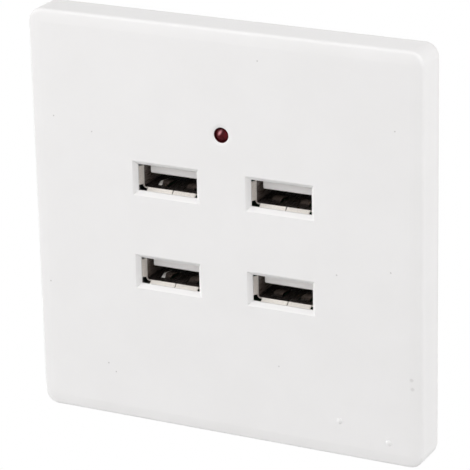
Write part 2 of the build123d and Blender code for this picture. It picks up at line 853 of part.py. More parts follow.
# Fuse in a box case
with BuildPart() as fuse:
    with BuildSketch(facing(power_front, fuse_x, fuse_z)):
        Rectangle(fuse_width, fuse_length)
    extrude(amount=fuse_height)
    chamfer(fuse.faces().sort_by(Axis.Y)[0].edges(), length=fuse_edge)
save(fuse.part, "fuse")

# Choke: drum core and its winding
with BuildPart() as choke_core:
    with BuildSketch(above(choke_z, choke_x, power_front)):
        with BuildLine():
            Polyline(
                (0, 0),
                (choke_radius, 0),
                (choke_radius, choke_flange),
                (choke_waist, choke_flange),
                (choke_waist, choke_height - choke_flange),
                (choke_radius, choke_height - choke_flange),
                (choke_radius, choke_height),
                (0, choke_height),
                close=True,
            )
        make_face()
    revolve(axis=towards_room(choke_x, choke_z))
save(choke_core.part, "choke_core")

with BuildPart() as choke_winding:
    with BuildSketch(facing(power_front + choke_flange, choke_x, choke_z)):
        Circle(choke_radius - choke_winding_gap)
        Circle(choke_waist + choke_winding_gap, mode=Mode.SUBTRACT)
    extrude(amount=choke_height - 2 * choke_flange)
save(choke_winding.part, "choke_winding")


def build_chips(planes, width, length, height, pitch, feet):
    """Chips with flat feet on two sides, each body just off the board that its plane lies on."""
    with BuildPart() as chips:
        for plane in planes:
            with BuildSketch(plane.offset(chip_lift)):
                Rectangle(width, length)
            extrude(amount=height - chip_lift)
            with BuildSketch(plane):
                with GridLocations(width, pitch, 2, feet):
                    Rectangle(2 * chip_foot_reach, chip_foot_width)
            extrude(amount=chip_foot_height)
    return chips.part


# Bridge rectifier and controller on the power board, and controllers behind the port board
bridge_planes = [facing(power_front, *bridge_place)]
supply_planes = [facing(power_front, *supply_chip_place)]
port_chip_planes = [facing_wall(port_board_back, *place) for place in port_chip_places]
save(
    build_chips(bridge_planes, bridge_width, bridge_length, bridge_height, bridge_pitch, bridge_feet),
    "bridge_rectifier",
)
save(
    build_chips(supply_planes, chip_width, chip_length, chip_height, chip_pitch, chip_feet),
    "supply_controller",
)
save(
    build_chips(port_chip_planes, chip_width, chip_length, chip_height, chip_pitch, chip_feet),
    "port_controllers",
)


def build_screws(planes, radius, length, head_radius, head_height):
    """Pan-head screws, each with its head standing on a plane and its shank behind that plane."""
    with BuildPart() as screws:
        for plane in planes:
            with BuildSketch(Plane(origin=plane.origin, x_dir=plane.x_dir, z_dir=-plane.y_dir)):
                with BuildLine():
                    Polyline(
                        (0, -length),
                        (radius, -length),
                        (radius, 0),
                        (head_radius, 0),
                        (head_radius - head_bevel, head_height),
                        (0, head_height),
                        close=True,
                    )
                make_face()
            revolve(axis=Axis(plane.origin, plane.z_dir))
    return screws.part


# Screws that hold the housing to the frame, and the port board to the housing
ear_planes = [
    facing_wall(seat_recess - ear_thickness, corner.position.X, corner.position.Y)
    for corner in GridLocations(ear_spacing, 2 * ear_z, 2, 2).locations
]
pillar_planes = [
    facing(board_depth, corner.position.X, corner.position.Y)
    for corner in GridLocations(pillar_spacing_x, pillar_spacing_z, 2, 2).locations
]
save(
    build_screws(
        ear_planes, housing_screw_radius, housing_screw_length, housing_head_radius, housing_head_height
    ),
    "housing_screws",
)
save(
    build_screws(
        pillar_planes, board_screw_radius, board_screw_length, board_head_radius, board_head_height
    ),
    "board_screws",
)

# Screw terminals: heights are measured from the power board's back towards the screw heads
cage_base = terminal_floor + cage_clearance
cage_height = cage_lower_wall + cage_window_height + cage_thread_wall
busbar_top = cage_base + cage_lower_wall + cage_window_height - busbar_gap
cell_top = cage_base + cage_height + cage_travel + cage_clearance
shelf_top = cell_top + screw_shelf
head_base = shelf_top + screw_float
terminal_top = head_base + screw_head_height + terminal_recess
wire_height = (cage_base + cage_lower_wall + busbar_top - busbar_thickness) / 2
with BuildPart() as terminal_block:
    with BuildSketch(facing(power_back, 0, terminal_middle)):
        Rectangle(terminal_width, terminal_height)
    extrude(amount=-terminal_top)
    chamfer(terminal_block.faces().sort_by(Axis.Y)[-1].edges(), length=terminal_edge)
    for pole_x in pole_places.values():
        with BuildSketch(facing(power_back - terminal_floor, pole_x, terminal_z)):
            with Locations((0, (cell_front + cell_back) / 2)):
                Rectangle(cell_width, cell_back - cell_front)
        extrude(amount=terminal_floor - cell_top, mode=Mode.SUBTRACT)
        with BuildSketch(facing(power_back - cell_top, pole_x, terminal_z)):
            Circle(shank_radius + screw_head_clearance)
        extrude(amount=-screw_shelf, mode=Mode.SUBTRACT)
        with BuildSketch(facing(power_back - shelf_top, pole_x, terminal_z)):
            Circle(screw_head_radius + screw_head_clearance)
        extrude(amount=shelf_top - terminal_top, mode=Mode.SUBTRACT)
        with BuildSketch(facing(power_back, pole_x, busbar_z)):
            Rectangle(
                busbar_width + 2 * cage_clearance, busbar_thickness + 2 * busbar_gap
            )
        extrude(amount=-terminal_floor, mode=Mode.SUBTRACT)
        with BuildSketch(above(terminal_z + terminal_front, pole_x, power_back - wire_height)):
            Circle(wire_entry_radius)
        extrude(amount=-terminal_entry_wall, mode=Mode.SUBTRACT)
    entry_face = terminal_block.faces().sort_by(Axis.Z)[0]
    chamfer(entry_face.inner_wires().edges(), length=wire_funnel)
save(terminal_block.part, "terminal_block")

for pole_name, pole_x in pole_places.items():
    with BuildPart() as terminal_screw:
        with BuildSketch(facing(power_back - head_base, pole_x, terminal_z)):
            Circle(screw_head_radius)
        extrude(amount=-screw_head_height)
        chamfer(terminal_screw.faces().sort_by(Axis.Y)[-1].edges(), length=head_bevel)
        with BuildSketch(facing(power_back - head_base, pole_x, terminal_z)):
            Circle(shank_radius)
        extrude(amount=head_base - busbar_top - screw_float)
        with BuildSketch(facing(power_back - head_base - screw_head_height, pole_x, terminal_z)):
            Rectangle(2 * screw_head_radius, screw_slot_width)
        extrude(amount=screw_slot_depth, mode=Mode.SUBTRACT)
    save(terminal_screw.part, f"terminal_screw_{pole_name}")

    with BuildPart() as clamp_cage:
        with BuildSketch(facing(power_back - cage_base, pole_x, terminal_z)):
            Rectangle(cage_width, cage_length)
        extrude(amount=-cage_height)
        window_middle = cage_base + cage_lower_wall + cage_window_height / 2
        with BuildSketch(above(terminal_z, pole_x, power_back - window_middle)):
            Rectangle(cage_window_width, cage_window_height)
        extrude(amount=cage_length, both=True, mode=Mode.SUBTRACT)
        with BuildSketch(facing(power_back - cage_base - cage_height, pole_x, terminal_z)):
            Circle(shank_radius + thread_clearance)
        extrude(amount=cage_thread_wall, mode=Mode.SUBTRACT)
    save(clamp_cage.part, f"clamp_cage_{pole_name}")

    with BuildPart() as busbar:
        busbar_line = power_back - busbar_top + busbar_thickness / 2
        with BuildSketch(beside(pole_x)):
            with BuildLine():
                Polyline(
                    (busbar_line, terminal_z - cage_length / 2 + cage_clearance),
                    (busbar_line, busbar_z),
                    (power_back, busbar_z),
                )
            trace(line_width=busbar_thickness)
        extrude(amount=busbar_width / 2, both=True)
        with BuildSketch(facing(power_back, pole_x, busbar_z)):
            Rectangle(busbar_pin_width, busbar_thickness)
        extrude(amount=board_thickness + tail_length)
    save(busbar.part, f"busbar_{pole_name}")
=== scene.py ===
"""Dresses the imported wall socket: a white snap-on cover with four chamfered port windows and a dark red
lamp, plated port shells behind it, and the mains supply in a housing that sits in the wall.

Metres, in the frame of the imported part: X to the right, -Y towards the room, Z up. New pieces are modelled
lying flat, with the room above them, and are stood up against the wall when they are done.
"""

import logging
import math
from collections.abc import Callable, Iterator
from contextlib import contextmanager
from dataclasses import dataclass, field
from enum import Enum
from functools import cache, cached_property

import bmesh
import bpy
from mathutils import Matrix, Vector


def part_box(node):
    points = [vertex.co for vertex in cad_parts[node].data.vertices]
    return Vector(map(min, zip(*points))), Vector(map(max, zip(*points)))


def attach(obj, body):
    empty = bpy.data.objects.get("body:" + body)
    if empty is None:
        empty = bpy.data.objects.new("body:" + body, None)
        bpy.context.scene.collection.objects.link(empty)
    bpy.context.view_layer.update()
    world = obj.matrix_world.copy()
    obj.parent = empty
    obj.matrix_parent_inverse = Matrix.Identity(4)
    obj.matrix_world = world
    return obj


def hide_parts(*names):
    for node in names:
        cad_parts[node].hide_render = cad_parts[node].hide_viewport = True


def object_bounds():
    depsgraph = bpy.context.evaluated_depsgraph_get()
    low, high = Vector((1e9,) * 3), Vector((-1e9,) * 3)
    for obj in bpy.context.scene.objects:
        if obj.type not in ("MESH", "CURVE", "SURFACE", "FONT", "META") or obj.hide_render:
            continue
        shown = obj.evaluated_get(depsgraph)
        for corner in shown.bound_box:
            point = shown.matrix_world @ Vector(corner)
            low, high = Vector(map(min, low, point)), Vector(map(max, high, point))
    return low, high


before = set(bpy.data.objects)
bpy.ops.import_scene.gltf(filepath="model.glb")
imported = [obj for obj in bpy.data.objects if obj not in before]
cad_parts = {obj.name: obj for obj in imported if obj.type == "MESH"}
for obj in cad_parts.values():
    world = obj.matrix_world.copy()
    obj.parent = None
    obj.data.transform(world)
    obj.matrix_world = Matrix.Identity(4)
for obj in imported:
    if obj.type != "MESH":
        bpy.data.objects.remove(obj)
cad_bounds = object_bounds()

TOUCH = 1e-6  # Metres within which two places are one.
LEVEL = 0.9  # The least Z of the normal of a face that lies level.
SMOOTH_ANGLE = math.radians(30)
GRAIN_SPAN = (0.2, 0.8)  # Where fine noise starts and stops to count.
CLOUD_SPAN = (0.3, 0.7)  # Where soft noise starts and stops to count.
BAND_PERIOD = 0.314  # Of a wave texture's bands, at a scale of 1.
log = logging.getLogger("wall_socket")

Span = tuple[float, float]
Triple = tuple[float, float, float]
Colour = Triple
Material = bpy.types.Material
Piece = bpy.types.Object
Socket = bpy.types.NodeSocket


class Port(Enum):
    """The four charging ports, by the names that their nodes end in."""

    TOP_LEFT = "top_left"
    TOP_RIGHT = "top_right"
    BOTTOM_LEFT = "bottom_left"
    BOTTOM_RIGHT = "bottom_right"


class Pole(Enum):
    """The two poles of the screw terminal."""

    LIVE = "live"
    NEUTRAL = "neutral"


class Pick(Enum):
    """What a selection in edit mode is made of."""

    FACES = "FACE"
    EDGES = "EDGE"


class Join(Enum):
    """How one solid acts on another."""

    CUT = "DIFFERENCE"
    FUSE = "UNION"


class Facing(Enum):
    """Which way a screw's head looks."""

    ROOM = -1
    WALL = 1


def hold(piece: Piece) -> None:
    """Select one piece alone and make it active.

    Args:
        piece: The piece.
    """
    bpy.ops.object.select_all(action="DESELECT")
    piece.select_set(True)
    bpy.context.view_layer.objects.active = piece


def primitive(kind: str, name: str, **sizes: object) -> Piece:
    """Add a primitive alone in the selection.

    Args:
        kind: Its kind, as the operator that adds it is named.
        name: The new piece's name.
        sizes: The operator's own settings.

    Returns:
        The new piece, with its place in its mesh.
    """
    bpy.ops.object.select_all(action="DESELECT")
    getattr(bpy.ops.mesh, f"primitive_{kind}_add")(**sizes)
    piece = bpy.context.object
    piece.name = name
    piece.data.name = name
    settle(piece)
    return piece


def block(name: str, width: float, length: float, low: float, high: float) -> Piece:
    """Add a box whose middle is on the Z axis.

    Args:
        name: The box's name.
        width: Its size along X.
        length: Its size along Y.
        low: Where it starts along Z.
        high: Where it ends along Z.

    Returns:
        The box, with its size in its mesh.
    """
    piece = primitive("cube", name, size=1.0)
    piece.location.z = (low + high) / 2
    piece.scale = (width, length, high - low)
    settle(piece)
    return piece


def settle(piece: Piece) -> None:
    """Move a piece's place, turn and size into its mesh."""
    hold(piece)
    bpy.ops.object.transform_apply(location=True, rotation=True, scale=True)


def stand_up(piece: Piece) -> None:
    """Turn a piece that lies flat so that what was above it looks into the room."""
    piece.rotation_euler.x = math.pi / 2
    settle(piece)


@contextmanager
def editing(piece: Piece) -> Iterator[None]:
    """Open a piece in edit mode with all of it selected.

    Args:
        piece: The piece.

    Yields:
        Nothing, while the piece is open.
    """
    hold(piece)
    bpy.ops.object.mode_set(mode="EDIT")
    bpy.ops.mesh.select_all(action="SELECT")
    yield
    bpy.ops.object.mode_set(mode="OBJECT")


def pick(piece: Piece, what: Pick, test: Callable[[Vector, Vector], bool]) -> None:
    """Select the faces or edges of a piece in edit mode by their place.

    Args:
        piece: The piece in edit mode.
        what: Faces or edges.
        test: Told a face's middle and normal, or an edge's middle and run, it says yes or no.
    """
    bpy.ops.mesh.select_mode(type=what.value)
    bpy.ops.mesh.select_all(action="DESELECT")
    mesh = bmesh.from_edit_mesh(piece.data)
    if what is Pick.FACES:
        for face in mesh.faces:
            face.select_set(test(face.calc_center_median(), face.normal))
    else:
        for edge in mesh.edges:
            start, end = (vertex.co for vertex in edge.verts)
            edge.select_set(test((start + end) / 2, end - start))
    bmesh.update_edit_mesh(piece.data)


def extrude(height: float) -> None:
    """Extrude what is selected in edit mode straight up by a height."""
    bpy.ops.mesh.extrude_region_move(TRANSFORM_OT_translate={"value": (0, 0, height)})


def modify(piece: Piece, kind: str, **settings: object) -> None:
    """Add a modifier with its settings and apply it.

    Args:
        piece: The piece to change.
        kind: The modifier's type.
        settings: The modifier's own settings.
    """
    hold(piece)
    modifier = piece.modifiers.new(kind, kind)
    for setting, value in settings.items():
        setattr(modifier, setting, value)
    bpy.ops.object.modifier_apply(modifier=modifier.name)


def combine(piece: Piece, other: Piece, how: Join) -> None:
    """Cut one solid out of a piece or fuse it on, and remove it."""
    modify(piece, "BOOLEAN", object=other, operation=how.value, solver="EXACT")
    bpy.data.objects.remove(other)


def copies(piece: Piece, places: list[Vector]) -> list[Piece]:
    """Set a piece and copies of it, each with its own mesh, at places.

    Args:
        piece: The piece, which goes to the first place.
        places: How far each one is moved.

    Returns:
        The piece and its copies, in the order of the places.
    """
    made = [piece]
    for number, place in enumerate(places[1:], start=2):
        hold(piece)
        bpy.ops.object.duplicate(linked=False)
        copy = bpy.context.object
        copy.name = f"{piece.name}_{number}"
        copy.data.name = copy.name
        copy.location = place
        made.append(copy)
    piece.location = places[0]
    for each in made:
        settle(each)
    return made


def gather(pieces: list[Piece]) -> Piece:
    """Join pieces into one.

    Args:
        pieces: The pieces.

    Returns:
        The first of them, with the others in it.
    """
    hold(pieces[0])
    for piece in pieces[1:]:
        piece.select_set(True)
    bpy.ops.object.join()
    return pieces[0]


def smooth(piece: Piece, edge: float, angle: float = SMOOTH_ANGLE) -> None:
    """Break a piece's sharp edges with a fine bevel and smooth its curves.

    Args:
        piece: The piece to finish.
        edge: Width of the broken edges, in metres.
        angle: Edges that turn by less than this stay curves.
    """
    modify(
        piece, "BEVEL", width=edge, segments=2, limit_method="ANGLE", angle_limit=angle,
        use_clamp_overlap=True, miter_outer="MITER_ARC",
    )
    hold(piece)
    bpy.ops.object.shade_smooth_by_angle(angle=angle)
    modify(piece, "WEIGHTED_NORMAL", keep_sharp=True, weight=100)


class Graph:
    """The nodes of a material, or of the world, while they are put together."""

    def __init__(self, owner: Material | bpy.types.World, shader: str = "Principled BSDF") -> None:
        """Start from the shader that a new owner comes with.

        Args:
            owner: The new material or world.
            shader: The shader's name.
        """
        owner.use_nodes = True
        self.tree = owner.node_tree
        self.shader = self.tree.nodes[shader]

    @cached_property
    def place(self) -> Socket:
        """The piece's own coordinates."""
        return self.add("ShaderNodeTexCoord", {}).outputs["Object"]

    @property
    def colour(self) -> Socket:
        """What feeds the shader's colour so far."""
        return self.shader.inputs["Base Color"].links[0].from_socket

    def add(self, kind: str, inputs: dict[str | int, object], **settings: object) -> bpy.types.Node:
        """Add a node.

        Args:
            kind: The node's type.
            inputs: Values or sockets to feed its inputs, by name or number.
            settings: The node's own settings.

        Returns:
            The node.
        """
        node = self.tree.nodes.new(kind)
        for setting, value in settings.items():
            setattr(node, setting, value)
        for name, value in inputs.items():
            self.feed(node.inputs[name], value)
        return node

    def feed(self, target: Socket, value: object) -> None:
        """Feed an input.

        Args:
            target: The input.
            value: A socket to link to it, or a plain value to set on it.
        """
        if isinstance(value, Socket):
            self.tree.links.new(value, target)
        else:
            target.default_value = value

    def shade(self, **inputs: object) -> None:
        """Feed the shader's inputs, named with underscores for spaces."""
        for name, value in inputs.items():
            self.feed(self.shader.inputs[name.replace("_", " ")], value)

    def noise(self, size: float, detail: float = 3.0, stretch: Triple = (1.0, 1.0, 1.0)) -> Socket:
        """Cloudy noise from 0 to 1.

        Args:
            size: Size of its features, in metres.
            detail: Octaves of finer noise on top.
            stretch: How much longer the features are along X, Y and Z.

        Returns:
            The noise's strength.
        """
        scale = tuple(1.0 / (size * factor) for factor in stretch)
        place = self.add("ShaderNodeMapping", {"Vector": self.place, "Scale": scale}).outputs[0]
        return self.add("ShaderNodeTexNoise", {"Vector": place, "Scale": 1.0, "Detail": detail}).outputs[0]

    def span(self, value: Socket, start: float, end: float, low: float = 0.0, high: float = 1.0) -> Socket:
        """Map a value between two limits to another range, held at its ends.

        Args:
            value: The value.
            start: The first limit.
            end: The second limit.
            low: What the first limit becomes.
            high: What the second limit becomes.

        Returns:
            The mapped value.
        """
        node = self.add(
            "ShaderNodeMapRange",
            {"Value": value, "From Min": start, "From Max": end, "To Min": low, "To Max": high},
            interpolation_type="SMOOTHSTEP",
        )
        return node.outputs[0]

    def gloss(self, grain: Socket, roughness: float, spread: float, limits: Span = GRAIN_SPAN) -> Socket:
        """Roughness that follows a grain between its limits, by a spread to either side."""
        return self.span(grain, *limits, roughness - spread, roughness + spread)

    def math(self, operation: str, first: object, second: object = 0.0) -> Socket:
        """Join two values by an operation."""
        return self.add("ShaderNodeMath", {0: first, 1: second}, operation=operation).outputs[0]

    def vector(self, operation: str, first: Socket, second: object = (0.0, 0.0, 0.0)) -> Socket:
        """Join two vectors by an operation, into a value for a length or distance and else a vector."""
        node = self.add("ShaderNodeVectorMath", {0: first, 1: second}, operation=operation)
        return node.outputs["Value" if operation in ("LENGTH", "DISTANCE") else "Vector"]

    def along(self, axis: str, vector: Socket | None = None) -> Socket:
        """The part of a vector along an axis, or of the place if no vector is given."""
        return self.add("ShaderNodeSeparateXYZ", {0: vector or self.place}).outputs[axis]

    def facing(self, axis: str) -> Socket:
        """How far the surface looks along an axis, from -1 to 1."""
        return self.along(axis, self.add("ShaderNodeNewGeometry", {}).outputs["True Normal"])

    def depth(self) -> Socket:
        """Distance in front of the wall, in metres."""
        return self.math("MULTIPLY", self.along("Y"), -1.0)

    def seen(self) -> Socket:
        """Tell what is looked at from what only gives light.

        Returns:
            A value that is 1 for rays from the camera, a mirror or glass.
        """
        path = self.add("ShaderNodeLightPath", {}).outputs
        mirrored = self.math("MAXIMUM", path["Is Glossy Ray"], path["Is Transmission Ray"])
        return self.math("MAXIMUM", path["Is Camera Ray"], mirrored)

    def blend(self, amount: object, low: Colour | Socket, high: Colour | Socket) -> Socket:
        """Blend two colours.

        Args:
            amount: The second colour's share, from 0 to 1.
            low: The first colour.
            high: The second colour.

        Returns:
            The blended colour.
        """
        node = self.add("ShaderNodeMix", {0: amount}, data_type="RGBA")
        for number, colour in ((6, low), (7, high)):
            self.feed(node.inputs[number], colour if isinstance(colour, Socket) else (*colour, 1.0))
        return node.outputs[2]

    def bump(self, height: Socket, depth: float) -> Socket:
        """Turn a height from 0 to 1 into relief of a depth in metres."""
        return self.add("ShaderNodeBump", {"Height": height, "Distance": depth}).outputs[0]


@dataclass(frozen=True)
class Finish:
    """A surface finish, under its material's name."""

    name: str

    def fill(self, graph: Graph) -> None:
        """Add the finish's nodes to its material."""

    @cache
    def make(self) -> Material:
        """Make the material, once.

        Returns:
            The material.
        """
        material = bpy.data.materials.new(self.name)
        self.fill(Graph(material))
        return material


@dataclass(frozen=True)
class Moulded(Finish):
    """Moulded plastic, slightly mottled, with a fine grain."""

    colour: Colour
    shade: Colour
    roughness: float = 0.5
    specular: float = 0.5
    mottle: float = 0.012
    grain: float = 0.0004
    relief: float = 0.000004

    def fill(self, graph: Graph) -> None:
        """Add the mottle and the grain.

        Args:
            graph: The material's nodes.
        """
        mottle = graph.span(graph.noise(self.mottle), *CLOUD_SPAN)
        grain = graph.noise(self.grain)
        graph.shade(
            Base_Color=graph.blend(mottle, self.shade, self.colour),
            Roughness=graph.gloss(grain, self.roughness, spread=0.06),
            Specular_IOR_Level=self.specular,
            Normal=graph.bump(grain, self.relief),
        )


@dataclass(frozen=True)
class Speck:
    """A dark speck in the cover's face."""

    x: float
    z: float
    radius: float = 0.00022
    strength: float = 0.5


@dataclass(frozen=True)
class Speckled(Moulded):
    """The cover's plastic, with dust specks in its face and, on the wall of its lamp hole, painted shade and
    a painted dark red reflection of the lamp.
    """

    face: float = 0.0082
    dirt: Colour = (0.30, 0.28, 0.27)
    core: float = 0.3
    wobble: float = 0.0002
    ripple: float = 0.00025
    # Painted shade and a painted red reflection of the lamp, on the wall of the lamp hole.
    red_bounce_shade: Colour = (0.10, 0.010, 0.014)
    bounce_radius: float = 0.00157
    bounce_edge: float = 0.00004
    specks: tuple[Speck, ...] = ()

    def fill(self, graph: Graph) -> None:
        """Paint the lamp's red reflection and shade on the wall of the lamp hole and lay the specks over the
        plastic.

        Args:
            graph: The material's nodes.
        """
        super().fill(graph)
        # The wall of the lamp hole is painted dark red: painted shade and a painted reflection of the lamp.
        lamp = middle("indicator_lamp")
        flat = graph.vector("MULTIPLY", graph.place, (1, 0, 1))
        off_lamp = graph.vector("DISTANCE", flat, (lamp.x, 0, lamp.z))
        hole = graph.span(off_lamp, self.bounce_radius + self.bounce_edge, self.bounce_radius)
        clean = graph.blend(hole, graph.colour, self.red_bounce_shade)
        waves = graph.add("ShaderNodeTexNoise", {"Vector": graph.place, "Scale": 1 / self.ripple})
        shift = graph.vector("MULTIPLY", waves.outputs["Color"], (self.wobble,) * 3)
        place = graph.vector("ADD", graph.place, shift)
        mean = self.wobble / 2
        spots = 0.0
        for speck in self.specks:
            away = graph.vector("DISTANCE", place, (speck.x + mean, mean - self.face, speck.z + mean))
            spot = graph.span(away, speck.radius, self.core * speck.radius, 0.0, speck.strength)
            spots = graph.math("MAXIMUM", spots, spot)
        graph.shade(Base_Color=graph.blend(spots, clean, self.dirt))


@dataclass(frozen=True)
class Shadowed(Moulded):
    """The tongues' plastic, with painted shade deep in the port."""

    front: float = 0.0034
    back: float = 0.0020
    # Painted shade where the tongue lies deep in the port.
    deep_shade: Colour = (0.05, 0.05, 0.05)

    def fill(self, graph: Graph) -> None:
        """Paint shade on the plastic behind the tip.

        Args:
            graph: The material's nodes.
        """
        super().fill(graph)
        tip = graph.span(graph.depth(), self.back, self.front)
        graph.shade(Base_Color=graph.blend(tip, self.deep_shade, graph.colour))


@dataclass(frozen=True)
class Plated(Finish):
    """Bare or plated metal with a fine drawn grain and some tarnish."""

    colour: Colour
    tarnish: Colour
    roughness: float = 0.3
    grain: float = 0.00015
    stretch: Triple = (1.0, 12.0, 1.0)
    relief: float = 0.000003

    def fill(self, graph: Graph) -> None:
        """Add the tarnish and the grain.

        Args:
            graph: The material's nodes.
        """
        clouds = graph.span(graph.noise(size=0.003), start=0.35, end=0.75)
        grain = graph.noise(self.grain, detail=4.0, stretch=self.stretch)
        graph.shade(
            Base_Color=graph.blend(clouds, self.colour, self.tarnish),
            Metallic=1.0,
            Roughness=graph.gloss(grain, self.roughness, spread=0.1),
            Normal=graph.bump(grain, self.relief),
        )


@dataclass(frozen=True)
class PortSheet(Plated):
    """Plated sheet of the ports: lips painted near-white as a painted sheen with painted shade at their
    sides, painted shade in the hollow behind them, lighter painted shade on the springs' crests and a
    painted gleam on one spring.
    """

    # Painted sheen: the lips are painted near-white on a non-metal surface in place of the plating's
    # reflection, and their sides get painted shade.
    painted_lip: Colour = (1.0, 0.95, 0.89)
    shaded_side_lip: Colour = (0.92, 0.86, 0.80)
    lip_back: float = 0.0054
    lip_front: float = 0.00555
    # Painted shade of the hollow behind the lips.
    hollow: Colour = (0.022, 0.018, 0.016)
    specular: float = 1.0
    # Brownish painted shade on the springs' crests, lighter than the hollow.
    spring_shade: Colour = (0.125, 0.098, 0.085)
    spring_rise: float = 0.00045
    # Painted gleam: a highlight along the edge of the left ports' left springs.
    gleam: Colour = (0.95, 0.93, 0.90)
    gleam_x: float = -0.0167
    gleam_narrow: float = 0.00022
    gleam_wide: float = 0.00085
    gleam_back: float = 0.0012
    gleam_front: float = 0.0040
    pitch_x: float = 0.0252
    pitch_z: float = 0.0200
    mouth_width: float = 0.0125
    mouth_height: float = 0.00512
    sheet: float = 0.0003

    def fill(self, graph: Graph) -> None:
        """Lay the lips' painted sheen and shade, the painted shade of the hollow and of its springs, and a
        painted gleam on one spring over the plate.

        Args:
            graph: The material's nodes.
        """
        super().fill(graph)
        depth, x = graph.depth(), graph.along("X")
        across, rise = (
            graph.math("ABSOLUTE", graph.math("SUBTRACT", graph.math("ABSOLUTE", place), pitch / 2))
            for place, pitch in ((x, self.pitch_x), (graph.along("Z"), self.pitch_z))
        )
        inside = graph.math(
            "MULTIPLY",
            graph.math("LESS_THAN", across, (self.mouth_width + self.sheet) / 2),
            graph.math("LESS_THAN", rise, (self.mouth_height + self.sheet) / 2),
        )
        wall = self.mouth_height / 2
        # The springs are painted lighter than the hollow where they rise towards the light.
        raised = graph.span(rise, wall - self.sheet / 3, wall - self.spring_rise)
        # Painted gleam along one spring's edge, widest at the front.
        beside = graph.math("ABSOLUTE", graph.math("SUBTRACT", x, self.gleam_x))
        width = graph.span(depth, self.gleam_back, self.gleam_front, self.gleam_narrow, self.gleam_wide)
        edge = graph.math("LESS_THAN", beside, width)
        for value, limit in ((rise, wall - self.sheet / 6), (depth, self.gleam_front)):
            edge = graph.math("MULTIPLY", edge, graph.math("LESS_THAN", value, limit))
        # Inside the mouth: painted shade, lighter on the springs' crests, with a painted gleam on one
        # spring's edge.
        inside_shade_and_gleam = graph.blend(edge, graph.blend(raised, self.hollow, self.spring_shade), self.gleam)
        # The lips' painted sheen, with painted shade at their sides; the lips and the hollow are not metal,
        # so their painted colours show as they are.
        lips = graph.span(depth, self.lip_back, self.lip_front)
        at_side = graph.math("GREATER_THAN", across, self.mouth_width / 2 - self.sheet)
        painted_lip = graph.blend(at_side, self.painted_lip, self.shaded_side_lip)
        graph.shade(
            Base_Color=graph.blend(lips, graph.blend(inside, graph.colour, inside_shade_and_gleam), painted_lip),
            Metallic=graph.math("SUBTRACT", 1.0, graph.math("MAXIMUM", inside, lips)),
            Specular_IOR_Level=self.specular,
        )


@dataclass(frozen=True)
class Laminate(Finish):
    """Circuit board: solder mask over tracks, with bare glass fibre at its cut edges."""

    mask: Colour
    track: Colour
    fibre: Colour
    pitch: float = 0.0021

    def fill(self, graph: Graph) -> None:
        """Add the tracks, the mask and the fibre.

        Args:
            graph: The material's nodes.
        """
        place = graph.add("ShaderNodeMapping", {"Vector": graph.place, "Scale": (1 / self.pitch,) * 3})
        cells = graph.add(
            "ShaderNodeTexVoronoi", {"Vector": place.outputs[0], "Scale": 1.0, "Randomness": 0.6},
            distance="CHEBYCHEV", feature="F1",
        )
        tracks = graph.span(cells.outputs["Distance"], start=0.36, end=0.40)
        weave = graph.noise(size=0.0003, detail=2.0, stretch=(4.0, 1.0, 1.0))
        flat = graph.span(graph.math("ABSOLUTE", graph.facing("Y")), start=0.4, end=0.6)
        graph.shade(
            Base_Color=graph.blend(flat, self.fibre, graph.blend(tracks, self.mask, self.track)),
            Roughness=graph.gloss(weave, roughness=0.365, spread=0.085),
            Normal=graph.bump(tracks, depth=0.00003),
        )


@dataclass(frozen=True)
class Wound(Finish):
    """A winding: turns of wire or tape, one behind another."""

    colour: Colour
    # Painted shade in the groove between turns.
    groove_shade: Colour
    turn: float
    metallic: float = 0.0
    roughness: float = 0.35

    def fill(self, graph: Graph) -> None:
        """Add the turns, with painted shade in the groove between each two.

        Args:
            graph: The material's nodes.
        """
        wave = graph.add(
            "ShaderNodeTexWave",
            {"Vector": graph.place, "Scale": BAND_PERIOD / self.turn, "Distortion": 0.4},
            wave_type="BANDS", bands_direction="Y", wave_profile="SIN",
        )
        turns = wave.outputs["Fac"]
        clouds = graph.noise(size=0.002)
        graph.shade(
            # Darker between the turns: painted shade in the grooves.
            Base_Color=graph.blend(graph.span(turns, start=0.1, end=0.6), self.groove_shade, self.colour),
            Metallic=self.metallic,
            Roughness=graph.gloss(clouds, self.roughness, spread=0.08, limits=CLOUD_SPAN),
            Normal=graph.bump(turns, depth=self.turn / 6),
        )


@dataclass(frozen=True)
class Sleeved(Finish):
    """Capacitor can: a shrunk sleeve with a pale stripe, and the bare scored top of the can."""

    sleeve: Colour
    stripe: Colour
    metal: Colour
    top: float
    rim: float = 0.0004

    def fill(self, graph: Graph) -> None:
        """Add the sleeve, its stripe and the bare top.

        Args:
            graph: The material's nodes.
        """
        bare = graph.span(graph.depth(), self.top - self.rim, self.top - self.rim / 2)
        striped = graph.span(graph.facing("X"), start=0.90, end=0.93)
        grain = graph.noise(size=0.0006)
        graph.shade(
            Base_Color=graph.blend(bare, graph.blend(striped, self.sleeve, self.stripe), self.metal),
            Metallic=bare,
            Roughness=graph.gloss(grain, roughness=0.335, spread=0.085),
            Normal=graph.bump(grain, depth=0.000006),
        )


